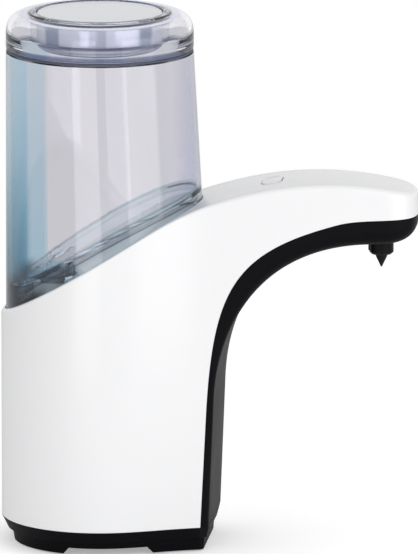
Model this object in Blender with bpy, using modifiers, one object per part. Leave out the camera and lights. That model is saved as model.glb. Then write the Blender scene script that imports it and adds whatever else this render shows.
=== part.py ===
"""Automatic soap dispenser: white housing with an arm, clear leaning tank, black front strip and base.

Lengths are in metres. Pieces are drawn from the tank's axis: x runs forward to the arm's tip, z up from the
surface that the dispenser stands on. One empty carries them all, so that the origin is under the middle.
"""

import math

import bmesh
import bpy
import numpy as np
from mathutils import Matrix, Vector

# Clearances and cutters
GAP = 0.0003
SLIDE_GAP = 0.0004
OVERRUN = 0.01

# Housing, seen from above
REAR_RADIUS = 0.0425
REACH = 0.1365
WAIST_ANGLE = math.radians(75)
ARM_START = 0.058
ARM_START_HALF = 0.0245
TIP_LENGTH = 0.0185
TIP_HALF = 0.0165
HOUSING_WALL = 0.0022

# Housing, seen from the side
REAR_HEIGHT = 0.0998
TOP_SLOPE = math.radians(31)
TIP_SLOPE = math.radians(14.6)
SLOPE_END = 0.022
COLUMN_REACH = 0.0492
SEAM_SETBACK = 0.0026
TIP_SEAM_DROP = 0.0102
COVER_WALL = 0.0025
COVER_EDGE = 0.006

# Seat of the tank in the housing
SEAT_DEPTH = 0.003
DECK_WALL = 0.0022
OUTLET_X = -0.020
SOCKET_RADIUS = 0.0105
SOCKET_WALL = 0.002
SOCKET_DEPTH = 0.0113
SOCKET_POST_RADIUS = 0.001
DRAIN_OFFSET = 0.0045
DRAIN_RADIUS = 0.0013
BARB_RADIUS = 0.0025
BARB_LENGTH = 0.006

# Base
BASE_HEIGHT = 0.0102
BASE_FLOOR_TOP = 0.008
BASE_FLOOR = 0.003
SKIRT_BOTTOM = 0.0006
SKIRT_WALL = 0.0028
BAND_FOOT = 0.0062
BAND_INSET = 0.0024
SKIRT_TOP = 0.0056
SKIRT_TOP_INSET = 0.0044
SKIRT_INSET = 0.0052
TRAY_INSET = 0.0038
FRONT_CHAMFER = 0.0035
FRONT_INSET_SHARE = 0.5
ARCH_HEIGHT = 0.0028
ARCH_FROM_REAR_FOOT = 0.0116
ARCH_FROM_FRONT_FOOT = 0.0145
ARCH_SLOPE = 0.0024
REAR_ARCH_HALF = 0.009

# Feet and screws of the base
FOOT_RADIUS = 0.0040
FOOT_THICKNESS = 0.0013
FOOT_BOSS_RADIUS = 0.0052
FRONT_FOOT_SETBACK = 0.0112
FRONT_FOOT_Y = 0.0178
SCREW_RADIUS = 0.0012
SCREW_HEAD_RADIUS = 0.0024
SCREW_HEAD = 0.0018
SCREW_LENGTH = 0.016
SCREW_BOSS_RADIUS = 0.0032
SCREW_BOSS_HEIGHT = 0.020
WEB = 0.0016

# Battery bay
CELL_RADIUS = 0.00725
CELL_LENGTH = 0.0492
CELL_NUB_RADIUS = 0.0026
CELL_NUB = 0.0013
CELL_SPACE = 0.0005
BAY_SETBACK = 0.018
BAY_WALL = 0.0015
CONTACT = 0.0004
CONTACT_HALF = 0.0042
DOOR_THICKNESS = 0.0022
DOOR_PIN_RADIUS = 0.0008
DOOR_PIN_LENGTH = 0.0014
DOOR_NOTCH_RADIUS = 0.0045
DOOR_NOTCH_DEPTH = 0.0009

# Tank
TANK_TOP = 0.2126
TANK_RADIUS = 0.0401
TANK_LEAN = 0.027
TANK_SPREAD = 0.030
TANK_WALL = 0.002
TANK_FLOOR_RISE = 0.008
TANK_FLOOR = 0.002
SUMP_RADIUS = 0.0078
SUMP_DEPTH = 0.0003
SUMP_FLOOR = 0.002

# Lid
SEAL_THICKNESS = 0.0011
SEAL_SETBACK = 0.0003
SEAL_WIDTH = 0.0018
LID_HEIGHT = 0.0157
LID_SKIRT = 0.0062
LID_CROWN_RADIUS = 0.0308
LID_BORE_RADIUS = 0.0271
LID_PLATE = 0.0028
PLUG_DEPTH = 0.005
PLUG_WALL = 0.0022
INSERT_WALL = 0.0018
INSERT_EDGE = 0.0006
INSERT_DROP = 0.0005

# Outlet of the tank
SPIGOT_RADIUS = 0.0080
SPIGOT_DEPTH = 0.0087
NECK_RADIUS = 0.0047
NECK_RISE = 0.0045
SPIGOT_BORE_RADIUS = 0.0032
OUTLET_SEAT_DEPTH = 0.0063
OUTLET_HOLE_RADIUS = 0.0017
NUT_RADIUS = 0.0072
NUT_HEIGHT = 0.0020
PLUNGER_RADIUS = 0.0027
PLUNGER_HEAD = 0.0017
STEM_RADIUS = 0.0012
STEM_TAIL = 0.0010
GUIDE_RADIUS = 0.0009
GUIDE_LENGTH = 0.0030
CAP_RING = 0.0010
CAP_HOLE_RADIUS = 0.0014
GASKET_THICKNESS = 0.0020
GASKET_HOLE_RADIUS = 0.0056
VALVE_COIL_RADIUS = 0.0020
VALVE_WIRE_RADIUS = 0.0003
VALVE_TURNS = 5

# Motor and pump
MOTOR_SETBACK = 0.0232
MOTOR_RADIUS = 0.012
MOTOR_LENGTH = 0.030
MOTOR_SHELF = 0.022
SHELF = 0.002
CHASSIS_SETBACK = 0.014
CHASSIS_HALF = 0.020
CHASSIS_HEIGHT = 0.078
SHAFT_RADIUS = 0.001
GEAR_MODULE = 0.001
GEAR_TEETH = 12
GEAR_HEIGHT = 0.0080
GEAR_BACKLASH = 0.0002
GEAR_ADDENDUM_SHARE = 0.9
GEAR_DEDENDUM_SHARE = 1.15
PRESSURE_ANGLE = math.radians(20)
PUMP_WALL = 0.0022
PUMP_FLOOR = 0.003
PUMP_COVER = 0.0025
PORT_OFFSET = 0.0062
PORT_RADIUS = 0.0018
PUMP_SCREW_SETBACK = 0.0026
HOSE_RADIUS = 0.0028

# Boards
BOARD = 0.0016
BOARD_POST_RADIUS = 0.0018
BOARD_POST = 0.003
CHIP_HALF = 0.004
CHIP_HEIGHT = 0.002
CAPACITOR_RADIUS = 0.0032
CAPACITOR_HEIGHT = 0.008

# Power button
BUTTON_SHARE = 0.284
BUTTON_HALF_WIDTH = 0.0042
BUTTON_HALF_LENGTH = 0.0076
BUTTON_RISE = 0.0004
BUTTON_STROKE = 0.001
BUTTON_LEDGE = 0.0012
BUTTON_FLANGE = 0.0014
BUTTON_COIL_LENGTH = 0.0054
BUTTON_BOARD_HALF_X = 0.0115
BUTTON_BOARD_HALF_Y = 0.0090
SWITCH_HALF = 0.0025
SWITCH_HEIGHT = 0.0028
BUTTON_COIL_RADIUS = 0.0042
BUTTON_WIRE_RADIUS = 0.0003
BUTTON_TURNS = 4

# Nozzle
NOZZLE_SETBACK = 0.0157
COLLAR_RADIUS = 0.0052
COLLAR_DROP = 0.0068
COLLAR_BORE_RADIUS = 0.0032
COLLAR_FLANGE_RADIUS = 0.0068
COLLAR_FLANGE = 0.0014
COLLAR_NECK = 0.0030
LIP_RADIUS = 0.0026
LIP_LENGTH = 0.0056
LIP_FLANGE = 0.0012

# Hand sensor
SENSOR_SHARE = 0.53
WINDOW_RADIUS = 0.0045
WINDOW_THICKNESS = 0.002
EYE_RADIUS = 0.0015
EYE_HEIGHT = 0.0040
EYE_OFFSET = 0.0022
SENSOR_BOARD_HALF_X = 0.0070
SENSOR_BOARD_HALF_Y = 0.0085
SENSOR_POST_OFFSET = 0.0050

# Outlines as shares: along from the column's front to the tip, and up to the height of the seam at the tip
UNDERSIDE_SHARES = ((0.025, 0.456), (0.038, 0.663), (0.261, 0.898), (0.719, 0.921))
UNDER_TIP_SHARES = ((0.857, 0.925), (0.948, 0.9275), (0.997, 0.950), (0.998, 0.978))
SEAM_SHARES = ((0.016, 0.539), (0.032, 0.773), (0.158, 0.898), (0.631, 0.981))
SEAM_TIP_SHARES = ((0.631, 0.981), (0.719, 0.996), (0.834, 0.9945), (1.0, 1.0))
WAIST_HANDLE_SHARES = (0.34, 0.425)
TIP_ROUND_SHARES = ((0.703, 0.91), (1.0, 0.79))
OUTLET_EASE_SHARES = (0.8, 0.5, 0.2)
HOSE_BEND_SHARE = 0.1
EDGE_DEPTH_SHARE = 0.6
EDGE_WIDTH_SHARE = 0.8

# Numbers of steps
CURVE_STEPS = 10
ARC_STEPS = 14
COVER_STEPS = 12
TIP_STEPS = 6
TURN_STEPS = 36
HOLE_STEPS = 24
SMALL_TURN_STEPS = 16
EDGE_STEPS = 3

COLLECTION = bpy.data.collections.new("soap_dispenser")
CUTTERS = bpy.data.collections.new("soap_dispenser_cutters")


def material(name, color, roughness, metallic=0.0, alpha=1.0):
    made = bpy.data.materials.new(name)
    made.use_nodes = True
    shader = made.node_tree.nodes["Principled BSDF"]
    shader.inputs["Base Color"].default_value = (*color, 1.0)
    shader.inputs["Roughness"].default_value = roughness
    shader.inputs["Metallic"].default_value = metallic
    shader.inputs["Alpha"].default_value = alpha
    made.diffuse_color = (*color, alpha)
    return made


def clear_scene():
    for obj in list(bpy.data.objects):
        bpy.data.objects.remove(obj, do_unlink=True)
    bpy.context.scene.collection.children.link(COLLECTION)
    bpy.context.scene.collection.children.link(CUTTERS)


def add_axis(name, place, parent=None):
    empty = bpy.data.objects.new(name, None)
    empty.location = place
    empty.parent = parent
    COLLECTION.objects.link(empty)
    return empty


def add_object(name, mesh, paint=None, place=(0, 0, 0), parent=None):
    """A piece where a paint is given, and otherwise a cutter."""
    obj = bpy.data.objects.new(name, mesh)
    obj.parent = parent or TANK_AXIS
    obj.location = place
    if paint is None:
        obj.hide_render = True
        obj.display_type = "WIRE"
        CUTTERS.objects.link(obj)
        return obj
    mesh.materials.append(paint)
    mesh.shade_smooth()
    mesh.set_sharp_from_angle(angle=math.radians(30))
    COLLECTION.objects.link(obj)
    return obj


def finish_mesh(name, form, weld=False):
    if weld:
        bmesh.ops.remove_doubles(form, verts=form.verts, dist=GAP / 100)
    bmesh.ops.recalc_face_normals(form, faces=form.faces)
    mesh = bpy.data.meshes.new(name)
    form.to_mesh(mesh)
    form.free()
    return mesh


def box_mesh(name, low, high):
    form = bmesh.new()
    low = Vector(low)
    size = Vector(high) - low
    fit = Matrix.Translation(low + size / 2) @ Matrix.Diagonal((*size, 1))
    bmesh.ops.create_cube(form, size=1, matrix=fit)
    return finish_mesh(name, form)


def round_mesh(name, radius, bottom, top, centre=(0, 0), steps=SMALL_TURN_STEPS, top_radius=None):
    form = bmesh.new()
    fit = Matrix.Translation((centre[0], centre[1], (bottom + top) / 2))
    bmesh.ops.create_cone(
        form,
        cap_ends=True,
        segments=steps,
        radius1=radius,
        radius2=radius if top_radius is None else top_radius,
        depth=top - bottom,
        matrix=fit,
    )
    return finish_mesh(name, form)


def flat_mesh(name, outline, low, high, across=False):
    """The outline raised from low to high or, drawn in x and z, stretched across from low to high in y."""
    curve = bpy.data.curves.new(name, "CURVE")
    curve.dimensions = "2D"
    curve.fill_mode = "BOTH"
    curve.extrude = (high - low) / 2
    line = curve.splines.new("POLY")
    line.points.add(len(outline) - 1)
    for point, spot in zip(line.points, outline):
        point.co = (spot[0], spot[1], 0, 1)
    line.use_cyclic_u = True
    guide = bpy.data.objects.new(name, curve)
    CUTTERS.objects.link(guide)
    graph = bpy.context.evaluated_depsgraph_get()
    raw = bpy.data.meshes.new_from_object(guide.evaluated_get(graph))
    bpy.data.objects.remove(guide, do_unlink=True)
    bpy.data.curves.remove(curve)
    form = bmesh.new()
    form.from_mesh(raw)
    bpy.data.meshes.remove(raw)
    middle = (high + low) / 2
    if across:
        fit = Matrix.Translation((0, middle, 0)) @ Matrix.Rotation(math.radians(90), 4, "X")
    else:
        fit = Matrix.Translation((0, 0, middle))
    bmesh.ops.transform(form, matrix=fit, verts=form.verts)
    return finish_mesh(name, form, weld=True)


def loft_mesh(name, rings):
    """A closed skin through rings that have equally many points."""
    form = bmesh.new()
    rows = [[form.verts.new(point) for point in ring] for ring in rings]
    for row, following in zip(rows, rows[1:]):
        for i in range(len(row)):
            j = (i + 1) % len(row)
            form.faces.new((row[i], row[j], following[j], following[i]))
    form.faces.new(rows[0])
    form.faces.new(reversed(rows[-1]))
    return finish_mesh(name, form)


def add_turned(name, profile, paint, centre=(0, 0), steps=TURN_STEPS, parent=None, place=(0, 0, 0)):
    """Profile of radius and height, top to bottom on its outer side, turned round an upright axis."""
    mesh = bpy.data.meshes.new(name)
    points = [(radius, 0, height) for radius, height in profile]
    edges = [(i, i + 1) for i in range(len(points) - 1)]
    if profile[0][0] > 0 or profile[-1][0] > 0:
        edges.append((len(points) - 1, 0))
    mesh.from_pydata(points, edges, [])
    spot = (place[0] + centre[0], place[1] + centre[1], place[2])
    obj = add_object(name, mesh, paint, spot, parent)
    screw = obj.modifiers.new("turn", "SCREW")
    screw.steps = steps
    screw.render_steps = steps
    screw.use_merge_vertices = True
    screw.merge_threshold = GAP / 100
    screw.use_smooth_shade = True
    return obj


def add_tube(name, route, radius, paint, sides=2, parent=None, place=(0, 0, 0)):
    curve = bpy.data.curves.new(name, "CURVE")
    curve.dimensions = "3D"
    curve.bevel_depth = radius
    curve.bevel_resolution = sides
    curve.use_fill_caps = True
    curve.materials.append(paint)
    line = curve.splines.new("POLY")
    line.points.add(len(route) - 1)
    for point, spot in zip(line.points, route):
        point.co = (*spot, 1)
    obj = bpy.data.objects.new(name, curve)
    obj.parent = parent or TANK_AXIS
    obj.location = place
    COLLECTION.objects.link(obj)
    return obj


def boolean(obj, other, operation):
    step = obj.modifiers.new(other.name, "BOOLEAN")
    step.operation = operation
    step.solver = "EXACT"
    step.object = other


def cut(obj, *cutters):
    for cutter in cutters:
        boolean(obj, cutter, "DIFFERENCE")


def join(obj, *others):
    for other in others:
        boolean(obj, other, "UNION")


def keep_inside(obj, other):
    boolean(obj, other, "INTERSECT")


def bezier(points, steps):
    a, b, c, d = (np.array(point) for point in points)
    shares = np.linspace(0, 1, steps + 1)[:, None]
    rest = 1 - shares
    return rest**3 * a + 3 * rest**2 * shares * b + 3 * rest * shares**2 * c + shares**3 * d


def straight(start, end, steps):
    shares = np.linspace(0, 1, steps + 1)[:, None]
    return (1 - shares) * np.array(start) + shares * np.array(end)


def smooth_route(points, steps):
    """A curve through the points, with its tangents along the neighbours on both sides."""
    spots = [np.array(point) for point in points]
    spots = [2 * spots[0] - spots[1], *spots, 2 * spots[-1] - spots[-2]]
    route = []
    for a, b, c, d in zip(spots, spots[1:], spots[2:], spots[3:]):
        route.extend(bezier((b, b + (c - a) / 6, c - (d - b) / 6, c), steps)[:-1])
    return [*route, spots[-2]]


def inset(outline, distance):
    """The closed outline, drawn counterclockwise, moved inwards by the distance."""
    spots = np.array(outline)
    before = spots - np.roll(spots, 1, axis=0)
    after = np.roll(spots, -1, axis=0) - spots
    before = before / np.linalg.norm(before, axis=1)[:, None]
    after = after / np.linalg.norm(after, axis=1)[:, None]
    along = before + after
    along = along / np.linalg.norm(along, axis=1)[:, None]
    inward = np.column_stack((-along[:, 1], along[:, 0]))
    bend = (along * after).sum(axis=1)[:, None]
    return spots + inward * distance / bend


def half_plan():
    """Half of the housing seen from above, from the rear to the tip."""
    angles = np.linspace(math.pi, WAIST_ANGLE, ARC_STEPS + 1)
    rear = np.column_stack((np.cos(angles), np.sin(angles))) * REAR_RADIUS
    start = rear[-1]
    handles = (ARM_START - start[0]) * np.array(WAIST_HANDLE_SHARES)
    waist = bezier(
        (
            start,
            start + handles[0] * np.array((math.sin(WAIST_ANGLE), -math.cos(WAIST_ANGLE))),
            (ARM_START - handles[1], ARM_START_HALF + handles[1] * ARM_TAPER),
            (ARM_START, ARM_START_HALF),
        ),
        CURVE_STEPS,
    )
    tip_length = REACH - TIP_START
    tip = bezier(
        (
            (TIP_START, TIP_HALF),
            *((TIP_START + x * tip_length, y * TIP_HALF) for x, y in TIP_ROUND_SHARES),
            (REACH, 0),
        ),
        CURVE_STEPS,
    )
    return np.round(np.concatenate((rear[:-1], waist[:-1], tip)), 7)


def whole(half):
    """Closes a half outline, drawn from the rear to the front, into a counterclockwise one."""
    half = [tuple(point) for point in half]
    mirrored = [(x, -y) for x, y in half]
    inner = slice(1 if half[0][1] == 0 else 0, -1 if half[-1][1] == 0 else None)
    return mirrored + half[inner][::-1]


def half_width(x):
    return float(np.interp(x, HALF_PLAN[:, 0], HALF_PLAN[:, 1]))


def top_profile(depth=0.0):
    """Points of the housing's top, moved square into it by the depth, from the rear to past the tip."""
    radius = (REACH - SLOPE_END) / (math.sin(TOP_SLOPE) + math.sin(TIP_SLOPE))
    start_height = REAR_HEIGHT + (REAR_RADIUS + SLOPE_END) * math.tan(TOP_SLOPE)
    slopes = np.linspace(TOP_SLOPE, -TIP_SLOPE, 2 * CURVE_STEPS + 1)
    xs = SLOPE_END + radius * (math.sin(TOP_SLOPE) - np.sin(slopes)) + depth * np.sin(slopes)
    zs = start_height + radius * (np.cos(slopes) - math.cos(TOP_SLOPE)) - depth * np.cos(slopes)
    rear_x = -REAR_RADIUS - OVERRUN
    rear = (rear_x, zs[0] - (xs[0] - rear_x) * math.tan(TOP_SLOPE))
    past_tip = (xs[-1] + OVERRUN, zs[-1] - OVERRUN * math.tan(TIP_SLOPE))
    return np.concatenate(((rear,), np.column_stack((xs, zs)), (past_tip,)))


def top_height(x, depth=0.0):
    profile = top_profile(depth)
    return float(np.interp(x, profile[:, 0], profile[:, 1]))


def side_points(shares):
    return [(COLUMN_REACH + x * (REACH - COLUMN_REACH), z * SEAM_TIP_HEIGHT) for x, z in shares]


def seam_line():
    """The line between the white housing and the black cover, from the base to the tip, in x and z."""
    column = straight((COLUMN_REACH - SEAM_SETBACK, 0), side_points(SEAM_SHARES)[0], 1)
    bend = bezier(side_points(SEAM_SHARES), CURVE_STEPS)
    tip = bezier(side_points(SEAM_TIP_SHARES), CURVE_STEPS)
    return np.concatenate((column[:-1], bend[:-1], tip))


def seam_height(x):
    return float(np.interp(x, SEAM_LINE[:, 0], SEAM_LINE[:, 1]))


def resample(line, steps):
    """Points at even spacing along a line of points."""
    runs = np.linalg.norm(np.diff(line, axis=0), axis=1)
    along = np.concatenate(((0,), np.cumsum(runs)))
    spots = np.linspace(0, along[-1], steps + 1)
    return np.column_stack([np.interp(spots, along, line[:, i]) for i in range(2)])


def cover_lines():
    """Two matching rows of points in x and z: the cover's outside and its edge at the seam."""
    foot = BASE_HEIGHT + GAP
    under = side_points(UNDERSIDE_SHARES)
    nose = side_points(UNDER_TIP_SHARES)
    column_top = under[0][1]
    seam_xs = np.interp((foot, column_top), SEAM_LINE[:, 1], SEAM_LINE[:, 0])
    seam_end = side_points(SEAM_SHARES)[-1][0]
    bend = [tuple(point) for point in SEAM_LINE if point[1] > column_top and point[0] < seam_end]
    bend = np.array([(seam_xs[1], column_top), *bend, (seam_end, seam_height(seam_end))])
    outside = [*straight((COLUMN_REACH, foot), under[0], 1)[:-1]]
    outside += [*resample(bezier(under, 2 * COVER_STEPS), COVER_STEPS)]
    edge = [(seam_xs[0], foot), *resample(bend, COVER_STEPS)]
    for spot in (*straight(under[-1], nose[0], 2)[1:-1], *bezier(nose, TIP_STEPS)):
        outside.append(spot)
        edge.append((spot[0], seam_height(spot[0])))
    return np.array(outside), np.array(edge)


def region_under(name, depth=0.0, end=None):
    """Cutter: all under the housing's top, moved into it by the depth, as far forward as the end."""
    profile = [tuple(point) for point in top_profile(depth)]
    end = REACH + OVERRUN if end is None else end
    top = [point for point in profile if point[0] < end] + [(end, top_height(end, depth))]
    outline = [*top, (end, -OVERRUN), (-REAR_RADIUS - OVERRUN, -OVERRUN)]
    reach = REAR_RADIUS + OVERRUN
    return add_object(name, flat_mesh(name, outline, -reach, reach, across=True))


def region_over(name, depth):
    """Cutter: all that lies over the housing's top, moved into it by the depth."""
    profile = [tuple(point) for point in top_profile(depth)]
    roof = TANK_TOP + OVERRUN
    outline = [*profile, (profile[-1][0], roof), (profile[0][0], roof)]
    reach = REAR_RADIUS + OVERRUN
    return add_object(name, flat_mesh(name, outline, -reach, reach, across=True))


def tank_ring(height, shrink):
    drop = TANK_TOP - height
    angles = np.linspace(0, 2 * math.pi, TURN_STEPS, endpoint=False)
    along = TANK_RADIUS + TANK_SPREAD * drop - shrink
    across = TANK_RADIUS - shrink
    return [
        (TANK_LEAN * drop + along * math.cos(angle), across * math.sin(angle), height)
        for angle in angles
    ]


def tank_mesh(name, low, high, shrink):
    return loft_mesh(name, [tank_ring(low, shrink), tank_ring(high, shrink)])


def tube_pair(name, centre, outer, inner, bottom, top):
    """Two cutters: a post and the bore through it."""
    post = add_object(name + "_post", round_mesh(name + "_post", outer, bottom, top, centre))
    low, high = bottom - OVERRUN, top + OVERRUN
    bore = add_object(name + "_bore", round_mesh(name + "_bore", inner, low, high, centre))
    return post, bore


def pill(centre_x, half_width_x, half_length):
    """Outline with straight sides along y and round ends."""
    straight_half = half_length - half_width_x
    angles = np.linspace(0, math.pi, ARC_STEPS)
    bend = [(half_width_x * math.cos(angle), half_width_x * math.sin(angle)) for angle in angles]
    far = [(centre_x + x, straight_half + y) for x, y in bend]
    near = [(centre_x - x, -straight_half - y) for x, y in bend]
    return far + near


def screw_spots():
    return [
        REAR_FOOT,
        (REAR_FOOT[0], -REAR_FOOT[1]),
        FRONT_FOOT,
        (FRONT_FOOT[0], -FRONT_FOOT[1]),
    ]


def housing_plan(distance):
    return inset(whole(HALF_PLAN), distance)


def make_housing(paint):
    """White shell: walls, arm, sunken deck with the tank's socket, and the posts that hold other pieces."""
    bottom = BASE_HEIGHT + GAP
    roof = top_height(NOZZLE_X) + OVERRUN
    shell = add_object("housing_shell", flat_mesh("housing_shell", housing_plan(0), bottom, roof), paint)
    profile = [tuple(point) for point in top_profile()]
    seam = [tuple(point) for point in SEAM_LINE]
    outline = [
        *profile,
        (REACH + OVERRUN, seam[-1][1]),
        *seam[::-1],
        (seam[0][0], -OVERRUN),
        (-REAR_RADIUS - OVERRUN, -OVERRUN),
    ]
    reach = REAR_RADIUS + OVERRUN
    keep_inside(shell, add_object("white_side", flat_mesh("white_side", outline, -reach, reach, across=True)))
    hollow_plan = housing_plan(HOUSING_WALL)
    arm_room = add_object("arm_room", flat_mesh("arm_room", hollow_plan, bottom - OVERRUN, roof + OVERRUN))
    keep_inside(arm_room, region_under("arm_room_roof", HOUSING_WALL))
    cut(arm_room, deck_block())
    cut(shell, arm_room)
    socket, socket_bore = socket_cutters()
    join(shell, socket, *screw_posts(), *button_posts())
    seat = add_object("seat", tank_mesh("seat", SOCKET_FLOOR - OVERRUN, TANK_TOP + OVERRUN, -SLIDE_GAP))
    keep_inside(seat, region_over("seat_floor", SEAT_DEPTH))
    cut(shell, seat, socket_bore, *socket_drain(), *screw_bores())
    hole = pill(BUTTON_X, BUTTON_HALF_WIDTH + SLIDE_GAP, BUTTON_HALF_LENGTH + SLIDE_GAP)
    low = BUTTON_SEAT - OVERRUN / 2
    cut(shell, add_object("button_hole", flat_mesh("button_hole", hole, low, roof + OVERRUN)))
    return shell


def deck_block():
    """Cutter: the space over the deck's underside, which the housing's hollow leaves solid."""
    depth = SEAT_DEPTH + DECK_WALL
    profile = [tuple(point) for point in top_profile(depth)]
    end = DECK_END
    under = [point for point in profile if point[0] < end] + [(end, top_height(end, depth))]
    roof = TANK_TOP
    outline = [*under, (end, roof), (under[0][0], roof)]
    reach = REAR_RADIUS + OVERRUN
    return add_object("deck_block", flat_mesh("deck_block", outline, -reach, reach, across=True))


def socket_cutters():
    """The round socket that hangs under the deck for the tank's spigot, and its bore."""
    spot = (OUTLET_X, 0)
    outer = SOCKET_RADIUS + SOCKET_WALL
    top = top_height(OUTLET_X + outer, SEAT_DEPTH + DECK_WALL / 2)
    low = SOCKET_FLOOR - SOCKET_WALL
    cup = add_object("socket", round_mesh("socket", outer, low, top, spot, HOLE_STEPS))
    keep_inside(cup, region_under("socket_roof", SEAT_DEPTH + DECK_WALL / 2))
    barb_spot = (OUTLET_X - DRAIN_OFFSET, 0)
    barb = round_mesh("barb", BARB_RADIUS, low - BARB_LENGTH, low + SOCKET_WALL / 2, barb_spot)
    join(cup, add_object("barb", barb))
    room = round_mesh("socket_bore", SOCKET_RADIUS, SOCKET_FLOOR, top + OVERRUN, spot, HOLE_STEPS)
    bore = add_object("socket_bore", room)
    post_top = SPIGOT_BOTTOM - STEM_TAIL - GAP
    post = round_mesh("socket_pin", SOCKET_POST_RADIUS, SOCKET_FLOOR - OVERRUN, post_top, spot)
    cut(bore, add_object("socket_pin", post))
    return cup, bore


def socket_drain():
    low = SOCKET_FLOOR - SOCKET_WALL - BARB_LENGTH - OVERRUN
    spot = (OUTLET_X - DRAIN_OFFSET, 0)
    return [add_object("drain", round_mesh("drain", DRAIN_RADIUS, low, SOCKET_FLOOR + GAP, spot))]


def screw_posts():
    """Posts for the base's screws, each with a web to the housing's wall."""
    bottom = BASE_HEIGHT + GAP
    top = bottom + SCREW_BOSS_HEIGHT
    posts = []
    for number, (x, y) in enumerate(screw_spots(), 1):
        name = f"screw_post_{number}"
        foot = BASE_FLOOR_TOP + GAP
        posts.append(add_object(name, round_mesh(name, SCREW_BOSS_RADIUS, foot, top, (x, y))))
        side = math.copysign(1, y)
        if x < 0:
            wall = -math.sqrt(REAR_RADIUS**2 - y**2) + HOUSING_WALL / 2
            low, high = (wall, y - WEB / 2, bottom), (x, y + WEB / 2, top - WEB)
        else:
            wall = side * (half_width(x) - HOUSING_WALL / 2)
            low, high = (x - WEB / 2, min(y, wall), bottom), (x + WEB / 2, max(y, wall), top - WEB)
        posts.append(add_object(name + "_web", box_mesh(name + "_web", low, high)))
    return posts


def screw_bores():
    bores = []
    for number, spot in enumerate(screw_spots(), 1):
        name = f"screw_bore_{number}"
        top = SCREW_TIP + WEB
        bores.append(add_object(name, round_mesh(name, SCREW_RADIUS + GAP, -OVERRUN, top, spot)))
    return bores


def button_post_spots():
    along = BUTTON_BOARD_HALF_X - BOARD_POST_RADIUS
    across = BUTTON_BOARD_HALF_Y - BOARD_POST_RADIUS
    return [(BUTTON_X + i * along, j * across) for i in (-1, 1) for j in (-1, 1)]


def button_posts():
    """Posts that hang from the arm's roof and carry the button's board."""
    posts = []
    for number, spot in enumerate(button_post_spots(), 1):
        name = f"button_post_{number}"
        top = min(top_height(spot[0] + side * BOARD_POST_RADIUS) for side in (-1, 1)) - HOUSING_WALL / 2
        posts.append(add_object(name, round_mesh(name, BOARD_POST_RADIUS, BUTTON_BOARD_TOP + GAP, top, spot)))
    return posts


def make_cover(paint):
    """Black cover: channel along the column's front and the arm's underside, closed at the tip."""
    form = bmesh.new()
    rows = []
    outside, edges = COVER_LINES
    along = np.gradient(outside, axis=0)
    for outer, edge, run in zip(outside, edges, along):
        inward = Vector((-run[1], run[0])).normalized()
        rows.append(cover_row(form, Vector(outer), Vector(edge), inward, rows))
    for (first, inner), (second, next_inner) in zip(rows, rows[1:]):
        for i in range(len(first) - 1):
            form.faces.new((first[i], first[i + 1], second[i + 1], second[i]))
        if inner is next_inner:
            form.faces.new((first[0], second[0], inner[0]))
            form.faces.new((second[-1], first[-1], inner[-1]))
            continue
        for i in range(len(inner) - 1):
            form.faces.new((inner[i + 1], inner[i], next_inner[i], next_inner[i + 1]))
        form.faces.new((first[0], second[0], next_inner[0], inner[0]))
        form.faces.new((second[-1], first[-1], inner[-1], next_inner[-1]))
    first, inner = rows[0]
    form.faces.new([*first[::-1], *inner])
    last, inner = rows[-1]
    form.faces.new(last)
    form.faces.new(inner[::-1])
    form.faces.new((last[0], last[-1], inner[-1], inner[0]))
    bmesh.ops.triangulate(form, faces=form.faces)
    cover = add_object("front_cover", finish_mesh("front_cover", form), paint)
    low, high = under_height(NOZZLE_X) - OVERRUN, under_height(NOZZLE_X) + OVERRUN
    hole = round_mesh("collar_hole", COLLAR_RADIUS + GAP, low, high, (NOZZLE_X, 0), HOLE_STEPS)
    cut(cover, add_object("collar_hole", hole))
    low, high = under_height(SENSOR_X) - OVERRUN, under_height(SENSOR_X) + OVERRUN
    hole = round_mesh("window_hole", WINDOW_RADIUS + GAP, low, high, (SENSOR_X, 0), HOLE_STEPS)
    join(cover, *sensor_posts())
    cut(cover, add_object("window_hole", hole))
    return cover


def cover_row(form, outer, edge, inward, rows):
    """One cross-section of the cover: points outside from one seam to the other, and points inside."""
    depth = edge - outer
    square = depth.normalized()
    edge = edge - square * GAP
    radius = min(COVER_EDGE, EDGE_DEPTH_SHARE * (depth.length - GAP), EDGE_WIDTH_SHARE * half_width(outer.x))
    side = [(edge, half_width(edge.x))]
    for angle in np.linspace(0, math.pi / 2, EDGE_STEPS + 1):
        spot = outer + square * radius * (1 - math.sin(angle))
        side.append((spot, half_width(spot.x) - radius * (1 - math.cos(angle))))
    outside = [form.verts.new((spot.x, width, spot.y)) for spot, width in side]
    outside += [form.verts.new((spot.x, -width, spot.y)) for spot, width in side[::-1]]
    corner = outer + inward * COVER_WALL
    if rows and max(corner.x, edge.x) > REACH - COVER_WALL:
        return outside, rows[-1][1]
    ends = [(spot, half_width(spot.x) - COVER_WALL) for spot in (edge, corner)]
    inside = [form.verts.new((spot.x, width, spot.y)) for spot, width in ends]
    inside += [form.verts.new((spot.x, -width, spot.y)) for spot, width in ends[::-1]]
    return outside, inside


def under_height(x):
    """Height of the cover's outside under the arm."""
    under = COVER_LINES[0]
    return float(np.interp(x, under[:, 0], under[:, 1]))


def sensor_posts():
    posts = []
    for number, (i, j) in enumerate(((-1, -1), (-1, 1), (1, -1), (1, 1)), 1):
        spot = (SENSOR_X + i * SENSOR_POST_OFFSET, j * SENSOR_POST_OFFSET)
        foot = under_height(spot[0] + BOARD_POST_RADIUS) + COVER_WALL / 3
        name = f"sensor_post_{number}"
        post = round_mesh(name, BOARD_POST_RADIUS, foot, SENSOR_BOARD_BOTTOM - GAP, spot)
        posts.append(add_object(name, post))
    return posts


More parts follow.
